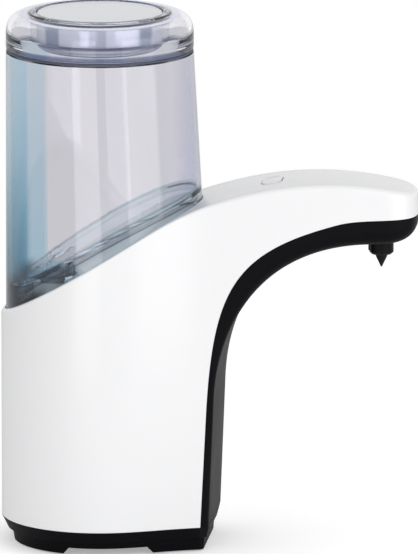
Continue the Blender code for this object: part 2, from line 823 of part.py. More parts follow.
def make_tank(paint):
    """Clear tank: leaning wall, sloping floor, and a flat sump in the floor for the outlet."""
    tank = add_object("soap_tank", tank_mesh("soap_tank", SOCKET_FLOOR - OVERRUN, TANK_TOP, 0), paint)
    keep_inside(tank, region_over("tank_foot", SEAT_DEPTH - GAP))
    inside = add_object("tank_inside", tank_mesh("tank_inside", SOCKET_FLOOR, TANK_TOP + OVERRUN, TANK_WALL))
    keep_inside(inside, region_over("tank_floor", -TANK_FLOOR_RISE))
    under = add_object("tank_under", tank_mesh("tank_under", SOCKET_FLOOR - 2 * OVERRUN, TANK_TOP, TANK_WALL))
    keep_inside(under, region_under("tank_floor_under", TANK_FLOOR - TANK_FLOOR_RISE))
    cut(tank, inside, under)
    spot = (OUTLET_X, 0)
    outer = SUMP_RADIUS + SUMP_FLOOR
    rim = top_height(OUTLET_X + outer) + TANK_FLOOR_RISE / math.cos(TOP_SLOPE) - TANK_FLOOR / 2
    sump = add_object("sump", round_mesh("sump", outer, SUMP_BOTTOM, rim, spot, HOLE_STEPS))
    keep_inside(sump, region_under("sump_roof", TANK_FLOOR / 2 - TANK_FLOOR_RISE))
    join(tank, sump)
    floor = SUMP_BOTTOM + SUMP_FLOOR
    basin = round_mesh("basin", SUMP_RADIUS, floor, rim + OVERRUN, spot, HOLE_STEPS)
    hole = round_mesh("neck_hole", NECK_RADIUS + GAP, SUMP_BOTTOM - OVERRUN, rim, spot, HOLE_STEPS)
    cut(tank, add_object("basin", basin), add_object("neck_hole", hole))
    return tank


def make_lid(clear, satin, rubber):
    """Clear lid with its plug, the seal under it and the satin insert pressed into its crown."""
    bottom = TANK_TOP + 2 * GAP + SEAL_THICKNESS
    top = bottom + LID_HEIGHT
    plug = TANK_RADIUS - TANK_WALL - SLIDE_GAP
    shoulder = bottom + LID_SKIRT
    angles = np.linspace(math.pi / 2, 0, 6)
    crown = [
        (
            LID_CROWN_RADIUS + (TANK_RADIUS - LID_CROWN_RADIUS) * math.cos(angle),
            shoulder + (top - shoulder) * math.sin(angle),
        )
        for angle in angles
    ]
    bore_floor = bottom + LID_PLATE
    profile = [
        (0, bore_floor),
        (LID_BORE_RADIUS, bore_floor),
        (LID_BORE_RADIUS, top),
        *crown,
        (TANK_RADIUS, bottom),
        (plug, bottom),
        (plug, bottom - PLUG_DEPTH),
        (plug - PLUG_WALL, bottom - PLUG_DEPTH),
        (plug - PLUG_WALL, bottom),
        (0, bottom),
    ]
    add_turned("tank_lid", profile, clear)
    outer = TANK_RADIUS - SEAL_SETBACK
    seal_top = bottom - GAP
    seal_bottom = TANK_TOP + GAP
    seal = [
        (outer - SEAL_WIDTH + GAP, seal_top),
        (outer, seal_top),
        (outer, seal_bottom),
        (outer - SEAL_WIDTH + GAP, seal_bottom),
    ]
    add_turned("lid_seal", seal, rubber)
    radius = LID_BORE_RADIUS - GAP
    face = top - INSERT_DROP
    foot = bore_floor + GAP
    insert = [
        (0, face),
        (radius - INSERT_EDGE, face),
        (radius, face - INSERT_EDGE),
        (radius, foot),
        (radius - INSERT_WALL, foot),
        (radius - INSERT_WALL, face - INSERT_WALL),
        (0, face - INSERT_WALL),
    ]
    add_turned("lid_insert", insert, satin)


def make_outlet(plastic, rubber, metal):
    """Sprung outlet in the tank's sump, with its plunger and nut, and the gasket in the socket under it."""
    spot = (OUTLET_X, 0)
    spigot = [
        (SPIGOT_BORE_RADIUS, NECK_TOP),
        (NECK_RADIUS, NECK_TOP),
        (NECK_RADIUS, SUMP_BOTTOM - GAP),
        (SPIGOT_RADIUS, SUMP_BOTTOM - GAP),
        (SPIGOT_RADIUS, SPIGOT_BOTTOM),
        (OUTLET_HOLE_RADIUS, SPIGOT_BOTTOM),
        (OUTLET_HOLE_RADIUS, OUTLET_SEAT),
        (SPIGOT_BORE_RADIUS, OUTLET_SEAT),
    ]
    add_turned("outlet_spigot", spigot, plastic, spot, steps=HOLE_STEPS)
    nut_foot = SUMP_BOTTOM + SUMP_FLOOR + GAP
    nut = [
        (NECK_RADIUS + GAP, nut_foot + NUT_HEIGHT),
        (NUT_RADIUS, nut_foot + NUT_HEIGHT),
        (NUT_RADIUS, nut_foot),
        (NECK_RADIUS + GAP, nut_foot),
    ]
    add_turned("outlet_nut", nut, plastic, spot, steps=SMALL_TURN_STEPS)
    head_foot = OUTLET_SEAT + GAP
    head_top = head_foot + PLUNGER_HEAD
    axis = add_axis("plunger_axis", (OUTLET_X, 0, head_foot), TANK_AXIS)
    plunger = [
        (0, head_top + GUIDE_LENGTH),
        (GUIDE_RADIUS, head_top + GUIDE_LENGTH),
        (GUIDE_RADIUS, head_top),
        (PLUNGER_RADIUS, head_top),
        (PLUNGER_RADIUS, head_foot),
        (STEM_RADIUS, head_foot),
        (STEM_RADIUS, SPIGOT_BOTTOM - STEM_TAIL),
        (0, SPIGOT_BOTTOM - STEM_TAIL),
    ]
    plunger = [(radius, height - head_foot) for radius, height in plunger]
    add_turned("outlet_plunger", plunger, plastic, steps=SMALL_TURN_STEPS, parent=axis)
    cap_foot = NECK_TOP - CAP_RING
    cap = [
        (CAP_HOLE_RADIUS, NECK_TOP),
        (SPIGOT_BORE_RADIUS - GAP, NECK_TOP),
        (SPIGOT_BORE_RADIUS - GAP, cap_foot),
        (CAP_HOLE_RADIUS, cap_foot),
    ]
    add_turned("outlet_cap", cap, plastic, spot, steps=SMALL_TURN_STEPS)
    low = head_top + GAP + VALVE_WIRE_RADIUS
    high = cap_foot - GAP - VALVE_WIRE_RADIUS
    route = coil(VALVE_COIL_RADIUS, low, high, VALVE_TURNS)
    add_tube("outlet_spring", route, VALVE_WIRE_RADIUS, metal, sides=0, place=(OUTLET_X, 0, 0))
    gasket = [
        (GASKET_HOLE_RADIUS, SOCKET_FLOOR + GAP + GASKET_THICKNESS),
        (SOCKET_RADIUS - GAP, SOCKET_FLOOR + GAP + GASKET_THICKNESS),
        (SOCKET_RADIUS - GAP, SOCKET_FLOOR + GAP),
        (GASKET_HOLE_RADIUS, SOCKET_FLOOR + GAP),
    ]
    add_turned("outlet_gasket", gasket, rubber, spot, steps=HOLE_STEPS)


def coil(radius, low, high, turns):
    count = 10 * turns
    angles = np.linspace(0, 2 * math.pi * turns, count + 1)
    return [
        (radius * math.cos(angle), radius * math.sin(angle), low + (high - low) * i / count)
        for i, angle in enumerate(angles)
    ]


def base_plan(distance, wall=0.0, square=False):
    """The base from above, moved inwards, less so at its front, and then by the wall on every side."""
    front = COLUMN_REACH + distance * (1 - FRONT_INSET_SHARE)
    cheek = front - FRONT_CHAMFER
    half = [tuple(point) for point in HALF_PLAN if point[0] < cheek - FRONT_CHAMFER / 2]
    if square:
        half.append((front, half_width(front)))
    else:
        half += [(cheek, half_width(cheek)), (front, half_width(front) - FRONT_CHAMFER)]
    return inset(whole(half), distance + wall)


def make_base(paint):
    """Black base: tapered band, a ledge, and a skirt with arches between its feet."""
    levels = (
        (SKIRT_BOTTOM, SKIRT_INSET),
        (SKIRT_TOP, SKIRT_TOP_INSET),
        (BAND_FOOT, BAND_INSET),
        (BASE_HEIGHT, 0),
    )
    rings = [[(x, y, height) for x, y in base_plan(distance)] for height, distance in levels]
    base = add_object("base_tray", loft_mesh("base_tray", rings), paint)
    tray = flat_mesh("tray", base_plan(0, TRAY_INSET), BASE_FLOOR_TOP, BASE_HEIGHT + OVERRUN)
    floor = BASE_FLOOR_TOP - BASE_FLOOR
    under = flat_mesh("under", base_plan(SKIRT_INSET, SKIRT_WALL, square=True), -OVERRUN, floor)
    cut(base, add_object("tray", tray), add_object("under", under))
    arch_top = SKIRT_BOTTOM + ARCH_HEIGHT
    start = REAR_FOOT[0] + ARCH_FROM_REAR_FOOT
    end = FRONT_FOOT[0] - ARCH_FROM_FRONT_FOOT
    side_arch = [
        (start - ARCH_SLOPE, -OVERRUN),
        (end + ARCH_SLOPE, -OVERRUN),
        (end + ARCH_SLOPE, SKIRT_BOTTOM),
        (end, arch_top),
        (start, arch_top),
        (start - ARCH_SLOPE, SKIRT_BOTTOM),
    ]
    reach = REAR_RADIUS + OVERRUN
    cut(base, add_object("side_arch", flat_mesh("side_arch", side_arch, -reach, reach, across=True)))
    low = (-reach, -REAR_ARCH_HALF, -OVERRUN)
    high = (REAR_FOOT[0], REAR_ARCH_HALF, arch_top)
    cut(base, add_object("rear_arch", box_mesh("rear_arch", low, high)))
    for number, spot in enumerate(screw_spots(), 1):
        name = f"foot_boss_{number}"
        boss = round_mesh(name, FOOT_BOSS_RADIUS, SKIRT_BOTTOM, floor + BASE_FLOOR / 2, spot)
        join(base, add_object(name, boss))
    for number, spot in enumerate(screw_spots(), 1):
        name = f"foot_pocket_{number}"
        pocket = round_mesh(name, FOOT_RADIUS + GAP, -OVERRUN, FOOT_TOP + GAP, spot)
        cut(base, add_object(name, pocket))
        head = round_mesh(name + "_head", SCREW_HEAD_RADIUS + GAP, -OVERRUN, SCREW_HEAD_TOP + GAP, spot)
        cut(base, add_object(name + "_head", head))
        hole = round_mesh(name + "_hole", SCREW_RADIUS + GAP, -OVERRUN, BASE_HEIGHT + OVERRUN, spot)
        cut(base, add_object(name + "_hole", hole))
    low = (BAY_X - BAY_HALF, -BAY_HALF, -OVERRUN)
    high = (BAY_X + BAY_HALF, BAY_HALF, BASE_HEIGHT + OVERRUN)
    cut(base, add_object("bay_opening", box_mesh("bay_opening", low, high)))
    reach = BAY_HALF + DOOR_PIN_LENGTH
    pin_hole = bar_across("pin_hole", DOOR_PIN_RADIUS + GAP / 2, DOOR_AXIS_X, DOOR_AXIS_Z, reach)
    cut(base, add_object("pin_hole", pin_hole))
    return base


def bar_across(name, radius, x, z, half_length):
    form = bmesh.new()
    fit = Matrix.Translation((x, 0, z)) @ Matrix.Rotation(math.radians(90), 4, "X")
    bmesh.ops.create_cone(
        form,
        cap_ends=True,
        segments=SMALL_TURN_STEPS,
        radius1=radius,
        radius2=radius,
        depth=2 * half_length,
        matrix=fit,
    )
    return finish_mesh(name, form)


def make_feet(rubber, metal):
    for number, spot in enumerate(screw_spots(), 1):
        pad = [(0, FOOT_TOP), (FOOT_RADIUS, FOOT_TOP), (FOOT_RADIUS, 0), (0, 0)]
        add_turned(f"rubber_foot_{number}", pad, rubber, spot, steps=SMALL_TURN_STEPS)
        low = SCREW_HEAD_TOP - SCREW_HEAD
        screw = [
            (0, SCREW_TIP),
            (SCREW_RADIUS, SCREW_TIP - SCREW_RADIUS),
            (SCREW_RADIUS, SCREW_HEAD_TOP),
            (SCREW_HEAD_RADIUS, SCREW_HEAD_TOP),
            (SCREW_HEAD_RADIUS, low),
            (0, low),
        ]
        add_turned(f"base_screw_{number}", screw, metal, spot, steps=SMALL_TURN_STEPS)


def make_door(plastic, metal):
    """Battery door that swings down about its round rear edge, with the two contacts on its inside."""
    axis = add_axis("door_axis", (DOOR_AXIS_X, 0, DOOR_AXIS_Z), TANK_AXIS)
    half = DOOR_THICKNESS / 2
    length = 2 * (BAY_HALF - SLIDE_GAP) - half
    width = BAY_HALF - SLIDE_GAP
    plate = box_mesh("battery_door", (0, -width, -half), (length, width, half))
    door = add_object("battery_door", plate, plastic, parent=axis)
    join(door, add_object("door_barrel", bar_across("door_barrel", half, 0, 0, width), parent=axis))
    pin = bar_across("door_pin", DOOR_PIN_RADIUS, 0, 0, width + SLIDE_GAP + DOOR_PIN_LENGTH - GAP)
    join(door, add_object("door_pin", pin, parent=axis))
    spot = (length - 2 * DOOR_NOTCH_RADIUS, 0)
    low, high = -half - OVERRUN, -half + DOOR_NOTCH_DEPTH
    notch = round_mesh("door_notch", DOOR_NOTCH_RADIUS, low, high, spot, HOLE_STEPS)
    cut(door, add_object("door_notch", notch, parent=axis))
    pitch = CELL_RADIUS + CELL_SPACE / 2
    foot = half + GAP
    middle = BAY_X - DOOR_AXIS_X
    for number, side in enumerate((-1, 1), 1):
        name = f"door_contact_{number}"
        low = (middle - pitch - CONTACT_HALF, side * pitch - CONTACT_HALF, foot)
        high = (middle + pitch + CONTACT_HALF, side * pitch + CONTACT_HALF, foot + CONTACT)
        add_object(name, box_mesh(name, low, high), metal, parent=axis)


def make_bay(plastic, cell_paint, metal):
    """Battery box over the base's opening, its four cells and the contacts under its roof."""
    outer = BAY_HALF + BAY_WALL
    floor = BASE_FLOOR_TOP + GAP
    low = (BAY_X - outer, -outer, floor)
    box = add_object("battery_box", box_mesh("battery_box", low, (BAY_X + outer, outer, BAY_ROOF)), plastic)
    low = (BAY_X - BAY_HALF, -BAY_HALF, floor - OVERRUN)
    high = (BAY_X + BAY_HALF, BAY_HALF, BAY_ROOF - BAY_WALL)
    cut(box, add_object("bay_room", box_mesh("bay_room", low, high)))
    for number, spot in enumerate(board_post_spots(), 1):
        name = f"board_post_{number}"
        low, high = BAY_ROOF - BAY_WALL / 2, BAY_ROOF + BOARD_POST
        join(box, add_object(name, round_mesh(name, BOARD_POST_RADIUS, low, high, spot)))
    pitch = CELL_RADIUS + CELL_SPACE / 2
    top = CELL_BOTTOM + CELL_LENGTH
    for number, (i, j) in enumerate(((-1, -1), (-1, 1), (1, -1), (1, 1)), 1):
        cell = [
            (0, top + CELL_NUB),
            (CELL_NUB_RADIUS, top + CELL_NUB),
            (CELL_NUB_RADIUS, top),
            (CELL_RADIUS, top),
            (CELL_RADIUS, CELL_BOTTOM),
            (0, CELL_BOTTOM),
        ]
        spot = (BAY_X + i * pitch, j * pitch)
        add_turned(f"battery_cell_{number}", cell, cell_paint, spot, steps=HOLE_STEPS)
    low_z = BAY_ROOF - BAY_WALL - GAP - CONTACT
    high_z = BAY_ROOF - BAY_WALL - GAP
    far, near = pitch + CONTACT_HALF, pitch - CONTACT_HALF
    plates = {
        "roof_contact_bridge": ((near, -far), (far, far)),
        "roof_contact_plus": ((-far, near), (-near, far)),
        "roof_contact_minus": ((-far, -far), (-near, -near)),
    }
    for name, (low, high) in plates.items():
        low = (BAY_X + low[0], low[1], low_z)
        high = (BAY_X + high[0], high[1], high_z)
        add_object(name, box_mesh(name, low, high), metal)


def board_post_spots():
    reach = BAY_HALF - BOARD_POST_RADIUS
    return [(BAY_X + i * reach, j * reach) for i in (-1, 1) for j in (-1, 1)]


def make_main_board(board, dark, metal):
    low_z = BAY_ROOF + BOARD_POST + GAP
    high_z = low_z + BOARD
    low = (BAY_X - BAY_HALF, -BAY_HALF, low_z)
    add_object("main_board", box_mesh("main_board", low, (BAY_X + BAY_HALF, BAY_HALF, high_z)), board)
    chip_foot = high_z + GAP
    low = (BAY_X - CHIP_HALF, -CHIP_HALF, chip_foot)
    high = (BAY_X + CHIP_HALF, CHIP_HALF, chip_foot + CHIP_HEIGHT)
    add_object("control_chip", box_mesh("control_chip", low, high), dark)
    spot = (BAY_X - BAY_HALF + 2 * CAPACITOR_RADIUS, -BAY_HALF + 2 * CAPACITOR_RADIUS)
    top = chip_foot + CAPACITOR_HEIGHT
    can = [(0, top), (CAPACITOR_RADIUS, top), (CAPACITOR_RADIUS, chip_foot), (0, chip_foot)]
    add_turned("capacitor", can, metal, spot, steps=SMALL_TURN_STEPS)


def make_chassis(paint):
    """Upright plate with the shelf that the motor stands on and the shelf that carries the pump."""
    floor = BASE_FLOOR_TOP + GAP
    low = (CHASSIS_X, -CHASSIS_HALF, floor)
    plate = box_mesh("chassis", low, (CHASSIS_X + SHELF, CHASSIS_HALF, CHASSIS_HEIGHT))
    chassis = add_object("chassis", plate, paint)
    half = MOTOR_RADIUS + SHELF
    for name, height in (("motor_shelf", MOTOR_SHELF), ("pump_shelf", PUMP_SHELF)):
        low = (CHASSIS_X + SHELF / 2, -half, height)
        high = (MOTOR_X + half, half, height + SHELF)
        join(chassis, add_object(name, box_mesh(name, low, high)))
    for side in (-1, 1):
        name = f"chassis_rib_{side + 2}"
        inner, outer = side * (half - SHELF), side * half
        low = (CHASSIS_X + SHELF / 2, min(inner, outer), floor)
        high = (MOTOR_X, max(inner, outer), MOTOR_SHELF + SHELF / 2)
        join(chassis, add_object(name, box_mesh(name, low, high)))
    low, high = PUMP_SHELF - OVERRUN / 2, PUMP_SHELF + OVERRUN
    hole = round_mesh("shelf_hole", 3 * SHAFT_RADIUS, low, high, (MOTOR_X, 0))
    cut(chassis, add_object("shelf_hole", hole))


def make_motor(steel, shaft_paint):
    foot = MOTOR_SHELF + SHELF + GAP
    top = foot + MOTOR_LENGTH
    edge = SHAFT_RADIUS
    can = [
        (0, top),
        (MOTOR_RADIUS - edge, top),
        (MOTOR_RADIUS, top - edge),
        (MOTOR_RADIUS, foot + edge),
        (MOTOR_RADIUS - edge, foot),
        (0, foot),
    ]
    motor = add_turned("motor", can, steel, (MOTOR_X, 0), steps=HOLE_STEPS)
    bearing = SHAFT_RADIUS + GAP
    bottom = top - MOTOR_RADIUS
    bore = round_mesh("motor_bore", bearing, bottom, top + OVERRUN, (MOTOR_X, 0))
    cut(motor, add_object("motor_bore", bore))
    axis = add_axis("motor_axis", (MOTOR_X, 0, GEAR_FOOT), TANK_AXIS)
    shaft_top = GEAR_HEIGHT - GAP
    shaft = round_mesh("motor_shaft", SHAFT_RADIUS, bottom + GAP - GEAR_FOOT, shaft_top)
    add_object("motor_shaft", shaft, shaft_paint, parent=axis)
    return axis


def gear_outline(turn):
    """Gear with involute flanks from the pitch circle out and straight ones below the base circle."""
    pitch = GEAR_MODULE * GEAR_TEETH / 2
    base = pitch * math.cos(PRESSURE_ANGLE)
    tip = pitch + GEAR_ADDENDUM_SHARE * GEAR_MODULE
    root = pitch - GEAR_DEDENDUM_SHARE * GEAR_MODULE
    half_tooth = math.pi / (2 * GEAR_TEETH) - GEAR_BACKLASH / (2 * pitch)
    involute = math.tan(PRESSURE_ANGLE) - PRESSURE_ANGLE
    flank = [(root, half_tooth + involute)]
    for radius in np.linspace(base, tip, 4):
        slant = math.acos(base / radius)
        flank.append((radius, half_tooth + involute - (math.tan(slant) - slant)))
    outline = []
    for tooth in range(GEAR_TEETH):
        middle = turn + 2 * math.pi * tooth / GEAR_TEETH
        sides = [(radius, middle - angle) for radius, angle in flank]
        sides += [(radius, middle + angle) for radius, angle in flank[::-1]]
        outline += [(radius * math.cos(angle), radius * math.sin(angle)) for radius, angle in sides]
    return outline


def make_gears(plastic, motor_axis):
    """Driving gear on the motor's shaft and the idler that it turns, in mesh."""
    wheel = flat_mesh("drive_gear", gear_outline(0), 0, GEAR_HEIGHT)
    drive = add_object("drive_gear", wheel, plastic, parent=motor_axis)
    bore = round_mesh("drive_bore", SHAFT_RADIUS + GAP, -OVERRUN, GEAR_HEIGHT + OVERRUN)
    cut(drive, add_object("drive_bore", bore, parent=motor_axis))
    axis = add_axis("idler_axis", (IDLER_X, 0, GEAR_FOOT), TANK_AXIS)
    turn = math.pi + math.pi / GEAR_TEETH
    wheel = flat_mesh("idler_gear", gear_outline(turn), 0, GEAR_HEIGHT)
    idler = add_object("idler_gear", wheel, plastic, parent=axis)
    bore = round_mesh("idler_bore", SHAFT_RADIUS + GAP / 2, -OVERRUN, GEAR_HEIGHT + OVERRUN)
    cut(idler, add_object("idler_bore", bore, parent=axis))


def pump_box(name, bottom, top):
    return box_mesh(name, (MOTOR_X - PUMP_HALF, -PUMP_HALF, bottom), (IDLER_X + PUMP_HALF, PUMP_HALF, top))


def pump_screw_spots():
    reach = PUMP_HALF - PUMP_SCREW_SETBACK
    return [(MOTOR_X - reach, reach), (IDLER_X + reach, -reach)]


def port_spots():
    middle = (MOTOR_X + IDLER_X) / 2
    return [(middle, -PORT_OFFSET), (middle, PORT_OFFSET)]


def make_pump(body_paint, metal):
    """Gear pump: a body round both gears, a cover with a barb for each hose, and two screws."""
    foot = PUMP_SHELF + SHELF + GAP
    body = add_object("pump_body", pump_box("pump_body", foot, PUMP_TOP), body_paint)
    for name, x in (("drive_chamber", MOTOR_X), ("idler_chamber", IDLER_X)):
        chamber = round_mesh(name, GEAR_ROOM_RADIUS, GEAR_FOOT - GAP, PUMP_TOP + OVERRUN, (x, 0), HOLE_STEPS)
        cut(body, add_object(name, chamber))
    for number, spot in enumerate(port_spots(), 1):
        name = f"port_{number}"
        cut(body, add_object(name, round_mesh(name, PORT_RADIUS, GEAR_FOOT, PUMP_TOP + OVERRUN, spot)))
    pin = round_mesh("idler_pin", SHAFT_RADIUS, foot + PUMP_FLOOR / 2, PUMP_TOP - GAP, (IDLER_X, 0))
    join(body, add_object("idler_pin", pin))
    hole = round_mesh("shaft_hole", SHAFT_RADIUS + GAP, foot - OVERRUN, GEAR_FOOT, (MOTOR_X, 0))
    cut(body, add_object("shaft_hole", hole))
    low = PUMP_TOP + GAP
    high = low + PUMP_COVER
    cover = add_object("pump_cover", pump_box("pump_cover", low, high), body_paint)
    for number, spot in enumerate(port_spots(), 1):
        name = f"hose_barb_{number}"
        post, bore = tube_pair(name, spot, BARB_RADIUS, DRAIN_RADIUS, high - PUMP_COVER / 2, BARB_TOP)
        join(cover, post)
        cut(cover, bore)
    head_top = high + GAP + SCREW_HEAD
    tip = foot + PUMP_FLOOR
    for number, spot in enumerate(pump_screw_spots(), 1):
        name = f"pump_screw_{number}"
        bore = round_mesh(name + "_bore", SCREW_RADIUS + GAP, tip - GAP, head_top, spot)
        bore = add_object(name + "_bore", bore)
        cut(body, bore)
        cut(cover, bore)
        screw = [
            (0, head_top),
            (SCREW_HEAD_RADIUS, head_top),
            (SCREW_HEAD_RADIUS, high + GAP),
            (SCREW_RADIUS, high + GAP),
            (SCREW_RADIUS, tip + SCREW_RADIUS),
            (0, tip),
        ]
        add_turned(name, screw, metal, spot, steps=SMALL_TURN_STEPS)


def make_button(plastic, board, dark, metal):
    """Power button in the arm's top, its spring, and the small board with the switch under it."""
    flange_foot = BUTTON_SEAT - BUTTON_FLANGE
    axis = add_axis("button_axis", (BUTTON_X, 0, flange_foot), TANK_AXIS)
    outline = pill(0, BUTTON_HALF_WIDTH, BUTTON_HALF_LENGTH)
    cap = flat_mesh("power_button", outline, BUTTON_FLANGE / 2, top_height(REACH) + OVERRUN - flange_foot)
    button = add_object("power_button", cap, plastic, parent=axis)
    keep_inside(button, region_under("button_top", -BUTTON_RISE))
    ledge = pill(0, BUTTON_HALF_WIDTH + BUTTON_LEDGE, BUTTON_HALF_LENGTH + BUTTON_LEDGE)
    flange = flat_mesh("button_flange", ledge, 0, BUTTON_FLANGE)
    join(button, add_object("button_flange", flange, parent=axis))
    switch_top = BUTTON_BOARD_TOP + GAP + SWITCH_HEIGHT
    stem_foot = switch_top + BUTTON_STROKE + GAP - flange_foot
    stem = round_mesh("button_stem", SWITCH_HALF / 2, stem_foot, BUTTON_FLANGE / 2)
    join(button, add_object("button_stem", stem, parent=axis))
    low = BUTTON_BOARD_TOP + GAP + BUTTON_WIRE_RADIUS
    high = flange_foot - GAP - BUTTON_WIRE_RADIUS
    route = coil(BUTTON_COIL_RADIUS, low, high, BUTTON_TURNS)
    add_tube("button_spring", route, BUTTON_WIRE_RADIUS, metal, sides=0, place=(BUTTON_X, 0, 0))
    low = (BUTTON_X - BUTTON_BOARD_HALF_X, -BUTTON_BOARD_HALF_Y, BUTTON_BOARD_TOP - BOARD)
    high = (BUTTON_X + BUTTON_BOARD_HALF_X, BUTTON_BOARD_HALF_Y, BUTTON_BOARD_TOP)
    add_object("button_board", box_mesh("button_board", low, high), board)
    low = (BUTTON_X - SWITCH_HALF, -SWITCH_HALF, BUTTON_BOARD_TOP + GAP)
    high = (BUTTON_X + SWITCH_HALF, SWITCH_HALF, switch_top)
    add_object("button_switch", box_mesh("button_switch", low, high), dark)


def make_nozzle(plastic, silicone):
    """Collar held in the cover's hole and the pointed outlet valve in its mouth."""
    spot = (NOZZLE_X, 0)
    outside = under_height(NOZZLE_X)
    mouth = outside - COLLAR_DROP
    seat = NOZZLE_SEAT
    bore_top = outside - COLLAR_BORE_RADIUS
    edge = COLLAR_RADIUS - COLLAR_BORE_RADIUS
    collar = [
        (DRAIN_RADIUS, NOZZLE_TOP),
        (BARB_RADIUS, NOZZLE_TOP),
        (BARB_RADIUS, seat + COLLAR_FLANGE),
        (COLLAR_FLANGE_RADIUS, seat + COLLAR_FLANGE),
        (COLLAR_FLANGE_RADIUS, seat),
        (COLLAR_RADIUS, seat),
        (COLLAR_RADIUS, mouth + edge / 2),
        (COLLAR_RADIUS - edge / 2, mouth),
        (COLLAR_BORE_RADIUS, mouth),
        (COLLAR_BORE_RADIUS, bore_top),
        (DRAIN_RADIUS, bore_top),
    ]
    add_turned("nozzle_collar", collar, plastic, spot, steps=HOLE_STEPS)
    flange_top = bore_top - GAP
    tip = mouth - LIP_LENGTH
    valve = [
        (0, flange_top),
        (COLLAR_BORE_RADIUS - GAP, flange_top),
        (COLLAR_BORE_RADIUS - GAP, flange_top - LIP_FLANGE),
        (LIP_RADIUS, flange_top - LIP_FLANGE),
        (LIP_RADIUS, mouth - GAP),
        (LIP_RADIUS / 2, mouth - LIP_LENGTH / 2),
        (GAP, tip),
        (0, tip),
    ]
    add_turned("nozzle_valve", valve, silicone, spot, steps=SMALL_TURN_STEPS)


def make_sensor(glass, board, dark):
    """Hand sensor behind its window in the arm's underside."""
    spot = (SENSOR_X, 0)
    window = [(0, WINDOW_TOP), (WINDOW_RADIUS, WINDOW_TOP), (WINDOW_RADIUS, WINDOW_FOOT), (0, WINDOW_FOOT)]
    add_turned("sensor_window", window, glass, spot, steps=HOLE_STEPS)
    foot = WINDOW_TOP + GAP
    top = foot + EYE_HEIGHT
    for name, side in (("sensor_emitter", -1), ("sensor_receiver", 1)):
        eye = [
            (0, top),
            (EYE_RADIUS, top),
            (EYE_RADIUS, foot + EYE_RADIUS),
            (EYE_RADIUS / 2, foot),
            (0, foot),
        ]
        add_turned(name, eye, dark, (SENSOR_X, side * EYE_OFFSET), steps=SMALL_TURN_STEPS)
    low = (SENSOR_X - SENSOR_BOARD_HALF_X, -SENSOR_BOARD_HALF_Y, SENSOR_BOARD_BOTTOM)
    high = (SENSOR_X + SENSOR_BOARD_HALF_X, SENSOR_BOARD_HALF_Y, SENSOR_BOARD_BOTTOM + BOARD)
    add_object("sensor_board", box_mesh("sensor_board", low, high), board)


def make_hoses(paint):
    """Inlet hose from the socket to the pump, and outlet hose from the pump along the arm to the nozzle."""
    start = SOCKET_FLOOR - SOCKET_WALL - BARB_LENGTH - GAP
    end = BARB_TOP + GAP
    (port_x, inlet_y), outlet_port = port_spots()
    outlet_y = outlet_port[1]
    drain_x = OUTLET_X - DRAIN_OFFSET
    run = 2 * HOSE_RADIUS
    over = CHASSIS_HEIGHT + 2 * HOSE_RADIUS
    inlet = [
        (drain_x, 0, start),
        (drain_x, 0, start - run / 2),
        (drain_x, 0, start - run),
        (drain_x / 2, inlet_y / 2, over + HOSE_RADIUS / 2),
        (CHASSIS_X, inlet_y, over + HOSE_RADIUS),
        (port_x - run, inlet_y, end + 2 * run),
        (port_x, inlet_y, end + run),
        (port_x, inlet_y, end + run / 2),
        (port_x, inlet_y, end),
    ]
    add_tube("inlet_hose", smooth_route(inlet, 3), HOSE_RADIUS, paint)
    nozzle_top = NOZZLE_TOP + GAP
    rise = nozzle_top + run
    bend_x = COLUMN_REACH + HOSE_BEND_SHARE * (REACH - COLUMN_REACH)
    bend_height = (under_height(bend_x) + top_height(bend_x)) / 2
    outlet = [
        (port_x, outlet_y, end),
        (port_x, outlet_y, end + run / 2),
        (port_x, outlet_y, end + run),
        (COLUMN_REACH - 3 * run, outlet_y * OUTLET_EASE_SHARES[0], (end + run + bend_height) / 2 - run),
        (bend_x, outlet_y * OUTLET_EASE_SHARES[1], bend_height),
        (BUTTON_X, outlet_y * OUTLET_EASE_SHARES[2], BUTTON_BOARD_TOP - 2 * run),
        (SENSOR_X - run, 0, SENSOR_BOARD_BOTTOM + BOARD + run),
        (NOZZLE_X - 2 * run, 0, rise + run / 2),
        (NOZZLE_X - run / 3, 0, rise),
        (NOZZLE_X, 0, nozzle_top + HOSE_RADIUS),
        (NOZZLE_X, 0, nozzle_top + HOSE_RADIUS / 2),
        (NOZZLE_X, 0, nozzle_top),
    ]
    add_tube("outlet_hose", smooth_route(outlet, 3), HOSE_RADIUS, paint)


TIP_START = REACH - TIP_LENGTH
ARM_TAPER = (ARM_START_HALF - TIP_HALF) / (TIP_START - ARM_START)
HALF_PLAN = half_plan()
MOTOR_X = COLUMN_REACH - MOTOR_SETBACK
CHASSIS_X = MOTOR_X - CHASSIS_SETBACK
BAY_X = CHASSIS_X - BAY_SETBACK
BUTTON_X = COLUMN_REACH + BUTTON_SHARE * (REACH - COLUMN_REACH)
NOZZLE_X = REACH - NOZZLE_SETBACK
SENSOR_X = COLUMN_REACH + SENSOR_SHARE * (REACH - COLUMN_REACH)
DECK_AT_OUTLET = top_height(OUTLET_X)
SOCKET_FLOOR = DECK_AT_OUTLET - SOCKET_DEPTH
SUMP_BOTTOM = DECK_AT_OUTLET - SUMP_DEPTH
SPIGOT_BOTTOM = DECK_AT_OUTLET - SPIGOT_DEPTH
OUTLET_SEAT = DECK_AT_OUTLET - OUTLET_SEAT_DEPTH
NECK_TOP = DECK_AT_OUTLET + NECK_RISE
SEAM_TIP_HEIGHT = top_height(REACH) - TIP_SEAM_DROP
SEAM_LINE = seam_line()
COVER_LINES = cover_lines()
DECK_DROP = TANK_TOP - top_height(TANK_RADIUS)
DECK_END = TANK_RADIUS + (TANK_LEAN + TANK_SPREAD) * DECK_DROP + SLIDE_GAP + HOUSING_WALL
FOOT_TOP = FOOT_THICKNESS
SCREW_HEAD_TOP = FOOT_TOP + 2 * GAP + SCREW_HEAD
SCREW_TIP = SCREW_HEAD_TOP + SCREW_LENGTH
